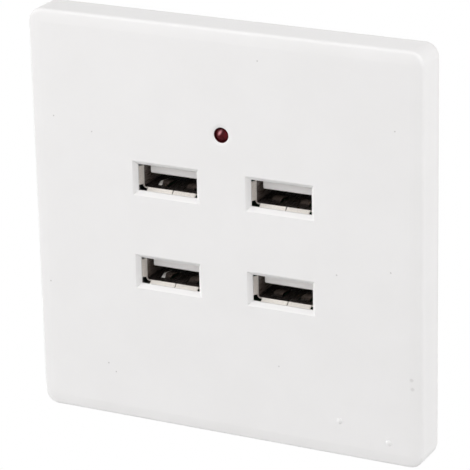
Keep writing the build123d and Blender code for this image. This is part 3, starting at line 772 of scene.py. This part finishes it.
@dataclass(frozen=True)
class Epoxy(Finish):
    """Tinted clear resin of the lamp, with painted light at one side and a pale slanting painted highlight.

    The gleam's place and size are shares of the lens's radius.
    """

    tint: Colour
    deep: Colour
    # Painted light at one side of the lens.
    glow: Colour
    # Painted highlight: a pale slanting gleam.
    gleam: Colour
    centre: Triple
    radius: float
    gleam_x: float = -0.17
    gleam_z: float = 0.32
    gleam_width: float = 0.28
    gleam_height: float = 0.55
    gleam_turn: float = math.radians(35)

    def fill(self, graph: Graph) -> None:
        """Add the tint, the painted light at one side and the painted highlight.

        Args:
            graph: The material's nodes.
        """
        clouds = graph.span(graph.noise(size=0.0012), start=0.35, end=0.65)
        from_centre = graph.vector("SUBTRACT", graph.place, self.centre)
        # Painted light, growing towards one side of the lens.
        side = graph.span(graph.along("X", from_centre), start=0.3 * self.radius, end=self.radius)
        body = graph.blend(side, graph.blend(clouds, self.deep, self.tint), self.glow)
        # Painted highlight: a soft slanting spot on the lens.
        slanted = graph.add(
            "ShaderNodeMapping",
            {
                "Vector": from_centre,
                "Location": (self.gleam_x * self.radius, 0.0, self.gleam_z * self.radius),
                "Rotation": (0.0, self.gleam_turn, 0.0),
                "Scale": (self.gleam_width * self.radius, 1.0, self.gleam_height * self.radius),
            },
            vector_type="TEXTURE",
        )
        gleam = graph.span(graph.vector("LENGTH", slanted.outputs[0]), start=1.1, end=0.1)
        graph.shade(
            Base_Color=graph.blend(gleam, body, self.gleam),
            Roughness=graph.gloss(graph.noise(size=0.0003), roughness=0.3, spread=0.05),
            Specular_IOR_Level=0.06,
        )


def dress(finish: Finish, *nodes: str) -> None:
    """Give CAD nodes their finish.

    Args:
        finish: The finish.
        nodes: The nodes' names.
    """
    for name in nodes:
        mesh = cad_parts[name].data
        mesh.materials.clear()
        mesh.materials.append(finish.make())
        log.info("%s: dressed in %s", name, finish.name)


def enter(piece: Piece, body: str, slot: str, finish: Finish, *nodes: str) -> None:
    """Put a modelled piece on its body, in its finish.

    Args:
        piece: The piece.
        body: The CAD body that it moves with.
        slot: The record's material slot; not used.
        finish: Its finish.
        nodes: The CAD nodes that it stands for.
    """
    piece.data.materials.clear()
    piece.data.materials.append(finish.make())
    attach(piece, body)
    if nodes:
        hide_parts(*nodes)
    log.info("%s: %d faces, on %s", piece.name, len(piece.data.polygons), body)


def middle(node: str) -> Vector:
    """The middle of a CAD node's box."""
    low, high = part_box(node)
    return (low + high) / 2


@dataclass
class FrontCover:
    """The snap-on cover: crowned square plate with port windows, lamp hole, ribs and hooks."""

    corner_radius: float = 0.0030
    crown_width: float = 0.0028
    crown_drop: float = 0.0004
    crown_bulge: float = 0.00005
    edge_radius: float = 0.0008
    face_wall: float = 0.0020
    side_wall: float = 0.0018
    window_width: float = 0.0132
    window_height: float = 0.0056
    window_chamfer: float = 0.00085
    pocket_width: float = 0.0159
    pocket_height: float = 0.00852
    pocket_depth: float = 0.0008
    lamp_hole_radius: float = 0.00155
    lamp_sink_radius: float = 0.0025
    lamp_sink: float = 0.000255
    rib_thickness: float = 0.0010
    rib_height: float = 0.0020
    rib_x: float = 0.0237
    rib_z: float = 0.0260
    hook_x: float = 0.0200
    hook_z: float = 0.0362
    hook_width: float = 0.0080
    hook_thickness: float = 0.0012
    hook_end: float = 0.0008
    barb_height: float = 0.0005
    barb_length: float = 0.0014
    notch_width: float = 0.0100
    notch_depth: float = 0.0012
    broken_edge: float = 0.00006
    smooth_angle: float = math.radians(25)
    margin: float = 0.0010
    corner_steps: int = 20
    fillet_steps: int = 8
    crown_steps: int = 8
    hole_steps: int = 64
    pips: tuple[Span, ...] = ((0.0251, -0.0353), (0.0358, -0.0382))
    pip_radius: float = 0.00062
    pip_height: float = 0.00026
    pip_segments: int = 20
    pip_rings: int = 12
    pip_smooth_angle: float = math.radians(40)
    rim: float = field(init=False)
    face: float = field(init=False)
    half: float = field(init=False)

    def __post_init__(self) -> None:
        """Take the plate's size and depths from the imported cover."""
        low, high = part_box("front_cover")
        self.rim = -high.y
        self.face = -low.y
        self.half = (high.x - low.x) / 2

    @property
    def inner_face(self) -> float:
        """Depth of the cover's inside."""
        return self.face - self.face_wall

    def edge_profile(self) -> list[Span]:
        """The edge in section: a small fillet that runs into the shallow crown.

        Returns:
            Points as distance in from the side and depth, from the side wall to the flat face.
        """
        chord = Vector((self.crown_width, self.crown_drop))
        radius = (chord.length_squared / 4 + self.crown_bulge**2) / (2 * self.crown_bulge)
        outwards = Vector((-chord.y, chord.x)).normalized()
        face_end = Vector((self.crown_width, self.face))
        centre = face_end - chord / 2 - (radius - self.crown_bulge) * outwards
        reach = radius - self.edge_radius
        rise = math.sqrt(reach**2 - (self.edge_radius - centre.x) ** 2)
        fillet_centre = Vector((self.edge_radius, centre.y + rise))
        meeting = math.atan2(rise, self.edge_radius - centre.x)
        face_turn = math.atan2(face_end.y - centre.y, face_end.x - centre.x)
        arcs = (
            (fillet_centre, self.edge_radius, math.pi, meeting, self.fillet_steps),
            (centre, radius, meeting, face_turn, self.crown_steps),
        )
        points = [(0.0, fillet_centre.y)]
        for middle_point, size, start, end, steps in arcs:
            for step in range(1, steps + 1):
                turn = start + (end - start) * step / steps
                points.append((
                    middle_point.x + size * math.cos(turn), middle_point.y + size * math.sin(turn)
                ))
        return points

    def build_skin(self) -> Piece:
        """Raise the plate from a rounded square, with its edge made of insets.

        Returns:
            The solid plate, lying flat.
        """
        plate = primitive("plane", "cover_plate", size=2 * self.half, location=(0, 0, self.rim))
        profile = self.edge_profile()
        with editing(plate):
            bpy.ops.mesh.bevel(offset=self.corner_radius, segments=self.corner_steps, affect="VERTICES")
            bpy.ops.mesh.select_all(action="SELECT")
            extrude(profile[0][1] - self.rim)
            for outer, inner in zip(profile, profile[1:]):
                bpy.ops.mesh.inset(thickness=inner[0] - outer[0], depth=inner[1] - outer[1])
        return plate

    def flare(self, cutter: Piece, width: float, height: float, drop: float, spread: float) -> None:
        """Open the top of a cutter outwards, and on past the face at the same slope.

        Args:
            cutter: A cutter whose top lies below the face.
            width: Its width.
            height: Its height on the face.
            drop: How far its top lies below the face.
            spread: How much further out each side is at the face.
        """
        rise = drop + self.margin
        wider = 2 * spread * rise / drop
        with editing(cutter):
            pick(cutter, Pick.FACES, lambda centre, normal: normal.z > LEVEL)
            extrude(rise)
            bpy.ops.transform.resize(value=(1 + wider / width, 1 + wider / height, 1))

    def cut_windows(self, plate: Piece) -> None:
        """Cut the chamfered port windows, and the pockets behind them for the shells' lips.

        Args:
            plate: The plate.
        """
        width, height, chamfer = self.window_width, self.window_height, self.window_chamfer
        window = block("window", width, height, self.rim, self.face - chamfer)
        self.flare(window, width, height, chamfer, chamfer)
        top = self.inner_face + self.pocket_depth
        combine(window, block("pocket", self.pocket_width, self.pocket_height, self.rim, top), Join.FUSE)
        places = [middle(f"port_shell_{port.value}") for port in Port]
        for cutter in copies(window, [Vector((place.x, place.z, 0)) for place in places]):
            combine(plate, cutter, Join.CUT)

    def cut_lamp_hole(self, plate: Piece) -> None:
        """Drill and countersink the lamp hole.

        Args:
            plate: The plate.
        """
        lamp = middle("indicator_lamp")
        top = self.face - self.lamp_sink
        drill = primitive(
            "cylinder", "drill",
            vertices=self.hole_steps, radius=self.lamp_hole_radius, depth=top, location=(0, 0, top / 2),
        )
        across = 2 * self.lamp_hole_radius
        self.flare(drill, across, across, self.lamp_sink, self.lamp_sink_radius - self.lamp_hole_radius)
        drill.location = (lamp.x, lamp.z, 0)
        settle(drill)
        combine(plate, drill, Join.CUT)

    def hollow(self, plate: Piece) -> None:
        """Hollow the plate from behind and cut the pry notch in its lower wall.

        Args:
            plate: The plate.
        """
        inside = 2 * (self.half - self.side_wall)
        below = self.rim - self.margin
        core = block("core", inside, inside, below, self.inner_face)
        with editing(core):
            pick(core, Pick.EDGES, lambda centre, run: abs(run.z) > self.margin)
            bpy.ops.mesh.bevel(
                offset=self.corner_radius - self.side_wall, segments=self.corner_steps, affect="EDGES"
            )
        combine(plate, core, Join.CUT)
        reach = 2 * self.side_wall + self.margin
        notch = block("notch", self.notch_width, reach, below, self.rim + self.notch_depth)
        notch.location.y = self.margin / 2 - self.half
        settle(notch)
        combine(plate, notch, Join.CUT)

    def add_ribs(self, plate: Piece) -> None:
        """Add the frame of stiffening ribs round the ports and the lamp.

        Args:
            plate: The plate.
        """
        low, high = self.inner_face - self.rib_height, self.inner_face + self.face_wall / 2
        across, up, thick = 2 * self.rib_x, 2 * self.rib_z, self.rib_thickness
        ribs = block("ribs", across + thick, up + thick, low, high)
        opening = block("rib_opening", across - thick, up - thick, low - self.margin, high + self.margin)
        combine(ribs, opening, Join.CUT)
        combine(plate, ribs, Join.FUSE)

    def add_hooks(self, plate: Piece) -> None:
        """Add the four snap hooks, each with a barb that points outwards.

        Args:
            plate: The plate.
        """
        top = self.inner_face + self.face_wall / 2
        hook = block("hook", self.hook_width, self.hook_thickness, self.hook_end, top)
        barb_middle = self.hook_end + self.barb_length / 2
        with editing(hook):
            for level in (barb_middle, self.hook_end + self.barb_length):
                bpy.ops.mesh.select_all(action="SELECT")
                bpy.ops.mesh.bisect(plane_co=(0, 0, level), plane_no=(0, 0, 1))
            pick(
                hook, Pick.EDGES,
                lambda centre, run: abs(centre.z - barb_middle) < TOUCH < min(centre.y, abs(run.x)),
            )
            bpy.ops.transform.translate(value=(0, self.barb_height, 0))
        lower = copies(hook, [Vector((0, 0, 0)), Vector((0, 0, 0))])[1]
        lower.rotation_euler.z = math.pi
        settle(lower)
        for side, maker in ((1, hook), (-1, lower)):
            places = [Vector((x, side * self.hook_z, 0)) for x in (-self.hook_x, self.hook_x)]
            for each in copies(maker, places):
                combine(plate, each, Join.FUSE)

    def build_pips(self) -> Piece:
        """Raise the two moulding pips near the lower edge.

        Returns:
            The pips as one piece, standing on the face.
        """
        pip = primitive(
            "uv_sphere", "face_pips",
            segments=self.pip_segments, ring_count=self.pip_rings, radius=self.pip_radius,
        )
        pip.scale.z = self.pip_height / self.pip_radius
        settle(pip)
        with editing(pip):
            bpy.ops.mesh.bisect(
                plane_co=(0, 0, 0), plane_no=(0, 0, 1), clear_inner=True, use_fill=True, threshold=TOUCH
            )
        pips = gather(copies(pip, [Vector((x, z, self.face)) for x, z in self.pips]))
        stand_up(pips)
        hold(pips)
        bpy.ops.object.shade_smooth_by_angle(angle=self.pip_smooth_angle)
        return pips

    def build(self) -> None:
        """Build the cover and its pips and put them on the cover's body."""
        plate = self.build_skin()
        self.hollow(plate)
        self.cut_windows(plate)
        self.cut_lamp_hole(plate)
        self.add_ribs(plate)
        self.add_hooks(plate)
        smooth(plate, self.broken_edge, self.smooth_angle)
        stand_up(plate)
        enter(plate, "cover", "cover_plastic", COVER_PLASTIC, "front_cover")
        enter(self.build_pips(), "cover", "cover_plastic", COVER_PLASTIC)


@dataclass
class IndicatorLamp:
    """The 3 mm lamp: a domed lens with a flange, on two leads and a spacer."""

    radius: float = 0.0015
    dome: float = 0.00105
    flange_radius: float = 0.0019
    flange_height: float = 0.0010
    broken_edge: float = 0.00004
    segments: int = 48

    def build(self) -> Piece:
        """Build the lens from half a flattened sphere, drawn down to its flange.

        Returns:
            The lens, standing in the lamp hole.
        """
        low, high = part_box("indicator_lamp")
        place = middle("indicator_lamp")
        base = -high.y
        equator = -low.y - self.dome
        flange_top = base + self.flange_height
        lens = primitive(
            "uv_sphere", "lamp_lens",
            segments=self.segments, ring_count=self.segments // 2, radius=self.radius,
        )
        lens.scale.z = self.dome / self.radius
        settle(lens)
        with editing(lens):
            bpy.ops.mesh.bisect(plane_co=(0, 0, 0), plane_no=(0, 0, 1), clear_inner=True)
            pick(lens, Pick.EDGES, lambda centre, run: centre.z < TOUCH)
            extrude(flange_top - equator)
            extrude(0)
            widen = self.flange_radius / self.radius
            bpy.ops.transform.resize(value=(widen, widen, 1))
            extrude(base - flange_top)
            bpy.ops.mesh.edge_face_add()
            bpy.ops.mesh.select_all(action="SELECT")
            bpy.ops.mesh.normals_make_consistent(inside=False)
        lens.location = (place.x, place.z, equator)
        settle(lens)
        smooth(lens, self.broken_edge)
        stand_up(lens)
        return lens

    def dress(self, lens: Piece) -> None:
        """Dress the lens, its leads and its spacer.

        Args:
            lens: The lens.
        """
        # The resin's glow and gleam are painted light and a painted highlight.
        resin = Epoxy(
            "lamp_resin", tint=(0.080, 0.006, 0.009), deep=(0.050, 0.004, 0.006), glow=(0.17, 0.018, 0.024),
            gleam=(0.56, 0.24, 0.26), centre=tuple(middle("indicator_lamp")), radius=self.radius,
        )
        enter(lens, "base", "lamp_lens", resin, "indicator_lamp")
        dress(TINNED_WIRE, "lamp_leads")
        dress(SPACER_PLASTIC, "lamp_spacer")


@dataclass(frozen=True)
class SoftLamp:
    """A square studio lamp that looks at the socket."""

    name: str
    place: Triple
    size: float
    power: float


@dataclass
class Studio:
    """Camera, lamps, white surroundings and a pale floor well below the socket."""

    azimuth: float = math.radians(26.797)
    elevation: float = math.radians(20.016)
    roll: float = math.radians(-1.246)
    distance: float = 0.56887
    aim: Triple = (-0.00145, 0.0, -0.00234)
    focal_pixels: float = 2816.9
    image_pixels: float = 470.0
    sensor: float = 36.0
    near_clip: float = 0.01
    ambient: float = 0.15
    floor_drop: float = 0.20
    floor_size: float = 6.0
    paper: Colour = (0.78, 0.78, 0.78)
    paper_shade: Colour = (0.74, 0.74, 0.74)
    paper_grain: float = 0.004
    paper_roughness: float = 0.8
    shadow_radius: float = 0.16
    white_radius: float = 0.34
    lamps: tuple[SoftLamp, ...] = (
        SoftLamp("key", (-0.30, -0.62, 0.57), 0.5, 2.92),
        SoftLamp("left", (-0.80, -0.35, 0.38), 0.5, 3.85),
        SoftLamp("front", (0.08, -0.93, 0.15), 0.5, 1.62),
        SoftLamp("right", (0.93, -0.03, 0.15), 0.5, 2.70),
        SoftLamp("right_above", (0.42, -0.05, 0.45), 0.4, 1.35),
        SoftLamp("right_behind", (0.60, 0.40, 0.60), 0.5, 1.25),
        SoftLamp("behind", (-0.30, 0.85, -0.08), 0.3, 2.4),
    )

    def set_camera(self) -> None:
        """Place the camera at the photograph's viewing angle."""
        turn = Matrix.Rotation(self.azimuth, 4, "Z")
        turn @= Matrix.Rotation(math.pi / 2 - self.elevation, 4, "X")
        turn @= Matrix.Rotation(self.roll, 4, "Z")
        data = bpy.data.cameras.new("camera")
        data.sensor_width = self.sensor
        data.lens = self.focal_pixels / self.image_pixels * self.sensor
        data.clip_start = self.near_clip
        camera = bpy.data.objects.new("camera", data)
        camera.matrix_world = (
            Matrix.Translation(self.aim) @ turn @ Matrix.Translation((0, 0, self.distance))
        )
        bpy.context.scene.collection.objects.link(camera)
        bpy.context.scene.camera = camera

    def set_lamps(self) -> None:
        """Hang the soft lamps, each turned to the socket."""
        for lamp in self.lamps:
            data = bpy.data.lights.new(lamp.name, "AREA")
            data.size = lamp.size
            data.energy = lamp.power
            light = bpy.data.objects.new(lamp.name, data)
            light.location = lamp.place
            light.rotation_euler = Vector(lamp.place).to_track_quat("Z", "Y").to_euler()
            bpy.context.scene.collection.objects.link(light)

    def set_world(self) -> None:
        """Surround the socket with white, at a plain level for its own light."""
        world = bpy.data.worlds.new("white_surroundings")
        graph = Graph(world, "Background")
        strength = graph.span(graph.seen(), start=0.0, end=1.0, low=self.ambient, high=1.0)
        graph.shade(Color=(1, 1, 1, 1), Strength=strength)
        bpy.context.scene.world = world

    def set_floor(self) -> None:
        """Lay the floor: pale where the socket's shadow falls, and white further out."""
        level = cad_bounds[0].z - self.floor_drop
        floor = primitive("plane", "floor", size=self.floor_size, location=(0, 0, level))
        material = bpy.data.materials.new("floor_paper")
        graph = Graph(material)
        paper = graph.blend(graph.noise(self.paper_grain), self.paper_shade, self.paper)
        graph.shade(Base_Color=paper, Roughness=self.paper_roughness)
        away = graph.vector("LENGTH", graph.vector("MULTIPLY", graph.place, (1, 1, 0)))
        outside = graph.span(away, self.shadow_radius, self.white_radius)
        white = graph.math("MULTIPLY", outside, graph.seen())
        glow = graph.add("ShaderNodeEmission", {"Strength": 1.0})
        mix = graph.add("ShaderNodeMixShader", {0: white, 1: graph.shader.outputs[0], 2: glow.outputs[0]})
        graph.feed(graph.tree.nodes["Material Output"].inputs["Surface"], mix.outputs[0])
        floor.data.materials.append(material)

    def build(self) -> None:
        """Set up the whole studio."""
        self.set_camera()
        self.set_lamps()
        self.set_world()
        self.set_floor()
        bpy.context.scene.view_settings.view_transform = "Standard"


COVER_PLASTIC = Speckled(
    "cover_plastic", (0.845, 0.835, 0.832), (0.832, 0.822, 0.818), roughness=0.42, specular=0.25,
    specks=(
        Speck(-0.0378, 0.0209, 0.00024),
        Speck(-0.0291, 0.0186),
        Speck(-0.0402, -0.0152, 0.00024),
        Speck(-0.0272, -0.0314, 0.00024),
        Speck(-0.0255, -0.0331),
        Speck(0.0083, 0.0376),
        Speck(0.0119, -0.0257),
        Speck(0.0248, -0.0042, 0.00024),
        Speck(0.0363, -0.0020),
        Speck(0.0372, 0.0269),
        Speck(0.0407, -0.0239, 0.00055, 0.22),
        Speck(0.0409, -0.0258, 0.00055, 0.22),
    ),
)
FRAME_PLASTIC = Moulded("frame_plastic", (0.80, 0.79, 0.78), (0.77, 0.76, 0.75))
HOUSING_PLASTIC = Moulded("housing_plastic", (0.78, 0.77, 0.75), (0.74, 0.73, 0.71))
TONGUE_PLASTIC = Shadowed("tongue_plastic", (1.0, 0.985, 0.97), (0.98, 0.965, 0.95))
SPACER_PLASTIC = Moulded("spacer_plastic", (0.04, 0.04, 0.042), (0.03, 0.03, 0.032))
BLACK_PLASTIC = Moulded("black_plastic", (0.028, 0.028, 0.03), (0.02, 0.02, 0.022))
TERMINAL_PLASTIC = Moulded("terminal_plastic", (0.05, 0.16, 0.06), (0.04, 0.13, 0.05), roughness=0.45)
FUSE_CASE = Moulded("fuse_case", (0.035, 0.035, 0.037), (0.025, 0.025, 0.027), roughness=0.4)
DISC_COATING = Moulded("disc_coating", (0.05, 0.16, 0.38), (0.04, 0.13, 0.32), roughness=0.35)
CHIP_RESIN = Moulded("chip_resin", (0.02, 0.02, 0.021), (0.014, 0.014, 0.015), roughness=0.6)
FERRITE = Moulded("ferrite", (0.055, 0.055, 0.06), (0.03, 0.03, 0.033), roughness=0.55, mottle=0.0008)
PORT_SHEET = PortSheet("port_sheet", (0.78, 0.76, 0.73), (0.68, 0.65, 0.61))
CONTACT_METAL = Plated("contact_metal", (0.85, 0.64, 0.30), (0.74, 0.52, 0.24), roughness=0.26)
SCREW_STEEL = Plated("screw_steel", (0.66, 0.66, 0.65), (0.52, 0.51, 0.49), roughness=0.32)
CAGE_STEEL = Plated("cage_steel", (0.70, 0.69, 0.66), (0.58, 0.55, 0.48), roughness=0.34)
BUSBAR_BRASS = Plated("busbar_brass", (0.78, 0.60, 0.30), (0.62, 0.45, 0.22))
TINNED_WIRE = Plated("tinned_wire", (0.74, 0.74, 0.73), (0.62, 0.62, 0.61), roughness=0.32)
BOARD_LAMINATE = Laminate("board_laminate", (0.012, 0.085, 0.035), (0.022, 0.13, 0.055), (0.45, 0.42, 0.25))
WINDING_TAPE = Wound("winding_tape", (0.75, 0.58, 0.10), (0.45, 0.32, 0.05), turn=0.0022)
COPPER_WIRE = Wound("copper_wire", (0.72, 0.30, 0.14), (0.20, 0.06, 0.03), turn=0.0003, metallic=1.0)


@dataclass(frozen=True)
class CrossScrews:
    """Four pan-head screws with cross recesses, square to the wall at the corners of their node's box."""

    name: str
    node: str
    facing: Facing
    shank_radius: float
    head_radius: float
    head_height: float
    head_bevel: float = 0.0004
    recess_span: float = 0.0026
    recess_width: float = 0.00055
    recess_depth: float = 0.0009
    broken_edge: float = 0.00008
    segments: int = 40

    def build(self) -> Piece:
        """Model one screw, cut its recess and copy it to the four places.

        Returns:
            The screws as one piece.
        """
        low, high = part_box(self.node)
        length = high.y - low.y
        shank_length = length - self.head_height
        screw = primitive(
            "cone", self.name,
            vertices=self.segments, radius1=self.head_radius, radius2=self.head_radius - self.head_bevel,
            depth=self.head_height, location=(0, 0, shank_length + self.head_height / 2),
        )
        with editing(screw):
            pick(screw, Pick.FACES, lambda centre, normal: normal.z < -LEVEL)
            bpy.ops.mesh.inset(thickness=self.head_radius - self.shank_radius)
            extrude(-shank_length)
        bottom, top = length - self.recess_depth, length + self.head_height
        for width, height in ((self.recess_width, self.recess_span), (self.recess_span, self.recess_width)):
            combine(screw, block("blade", width, height, bottom, top), Join.CUT)
        smooth(screw, self.broken_edge)
        screw.rotation_euler.x = -self.facing.value * math.pi / 2
        settle(screw)
        tip = low.y if self.facing is Facing.WALL else high.y
        places = [
            Vector((x, tip, z))
            for x in (low.x + self.head_radius, high.x - self.head_radius)
            for z in (low.z + self.head_radius, high.z - self.head_radius)
        ]
        return gather(copies(screw, places))

    def dress(self, screws: Piece) -> None:
        """Put the screws on the base in their steel."""
        enter(screws, "base", "screw_steel", SCREW_STEEL, self.node)


@dataclass
class PortBank:
    """The four charging ports: folded shells, tongues and contacts, on the port board."""

    seam_offset: float = -0.0006
    seam_width: float = 0.0002
    seam_shift: float = 0.0009

    def build_shell(self, port: Port) -> Piece:
        """Copy a packed shell and slide the seam in its lower wall to the right of the middle.

        Args:
            port: The shell's port.

        Returns:
            The shell.
        """
        node = f"port_shell_{port.value}"
        shell = bpy.data.objects.new(f"folded_shell_{port.value}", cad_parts[node].data.copy())
        bpy.context.scene.collection.objects.link(shell)
        seam = middle(node).x + self.seam_offset

        def beside_seam(centre: Vector, run: Vector) -> bool:
            """Whether an edge lies along a side of the seam."""
            aside = abs(centre.x - seam) - self.seam_width / 2
            return max(abs(aside), abs(run.x)) < TOUCH

        with editing(shell):
            bpy.ops.mesh.remove_doubles(threshold=TOUCH)
            pick(shell, Pick.EDGES, beside_seam)
            bpy.ops.transform.translate(value=(self.seam_shift, 0, 0))
        hold(shell)
        bpy.ops.object.shade_smooth_by_angle(angle=SMOOTH_ANGLE)
        return shell

    def build(self) -> dict[Port, Piece]:
        """Build the four shells and return them by port."""
        return {port: self.build_shell(port) for port in Port}

    def dress(self, shells: dict[Port, Piece]) -> None:
        """Dress the ports.

        Args:
            shells: The shells, by port.
        """
        for port, shell in shells.items():
            enter(shell, "base", "port_sheet", PORT_SHEET, f"port_shell_{port.value}")
            dress(TONGUE_PLASTIC, f"port_tongue_{port.value}")
            dress(CONTACT_METAL, f"port_contacts_{port.value}")


@dataclass
class WallBox:
    """What the cover hides: the wall frame, the housing behind it and the screws that join them."""

    ear_screws: CrossScrews = CrossScrews(
        "ear_screws", "housing_screws", Facing.WALL,
        shank_radius=0.00125, head_radius=0.0024, head_height=0.0017,
    )

    def build(self) -> Piece:
        """Model the screws and return them."""
        return self.ear_screws.build()

    def dress(self, screws: Piece) -> None:
        """Dress the frame, the housing and the screws.

        Args:
            screws: The screws.
        """
        dress(FRAME_PLASTIC, "mounting_frame")
        dress(HOUSING_PLASTIC, "rear_housing")
        self.ear_screws.dress(screws)


@dataclass
class Supply:
    """The mains supply: two boards, what is soldered to them and the screws that hold them."""

    pillar_screws: CrossScrews = CrossScrews(
        "pillar_screws", "board_screws", Facing.ROOM,
        shank_radius=0.0009, head_radius=0.0019, head_height=0.0014,
        recess_span=0.0021, recess_width=0.00045,
    )

    def build(self) -> Piece:
        """Model the screws and return them."""
        return self.pillar_screws.build()

    def dress(self, screws: Piece) -> None:
        """Dress the boards, their parts and their screws.

        Args:
            screws: The screws.
        """
        cans = ("input_capacitors", "output_capacitors")
        sleeve = Sleeved(
            "can_sleeve", sleeve=(0.018, 0.022, 0.035), stripe=(0.55, 0.56, 0.58), metal=(0.75, 0.75, 0.76),
            top=min(-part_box(name)[0].y for name in cans),
        )
        dress(sleeve, *cans)
        dress(BOARD_LAMINATE, "port_board", "power_board")
        dress(BLACK_PLASTIC, "link_body", "transformer_bobbin")
        dress(FERRITE, "transformer_core", "choke_core")
        dress(CHIP_RESIN, "bridge_rectifier", "supply_controller", "port_controllers")
        dress(WINDING_TAPE, "transformer_winding")
        dress(COPPER_WIRE, "choke_winding")
        dress(DISC_COATING, "safety_capacitor")
        dress(FUSE_CASE, "fuse")
        dress(TINNED_WIRE, "link_pins")
        self.pillar_screws.dress(screws)


class WireTerminal:
    """The two-pole terminal: block, screws, rising cages and busbars."""

    def dress(self) -> None:
        """Dress the block, and each pole's screw, cage and busbar."""
        dress(TERMINAL_PLASTIC, "terminal_block")
        for pole in Pole:
            dress(SCREW_STEEL, f"terminal_screw_{pole.value}")
            dress(CAGE_STEEL, f"clamp_cage_{pole.value}")
            dress(BUSBAR_BRASS, f"busbar_{pole.value}")


def main() -> None:
    """Build and dress every sub-assembly and set up the studio."""
    logging.basicConfig(level=logging.INFO, format="%(name)s %(message)s")
    FrontCover().build()
    for assembly in (IndicatorLamp(), PortBank(), WallBox(), Supply()):
        assembly.dress(assembly.build())
    WireTerminal().dress()
    Studio().build()


if __name__ == "__main__":
    main()
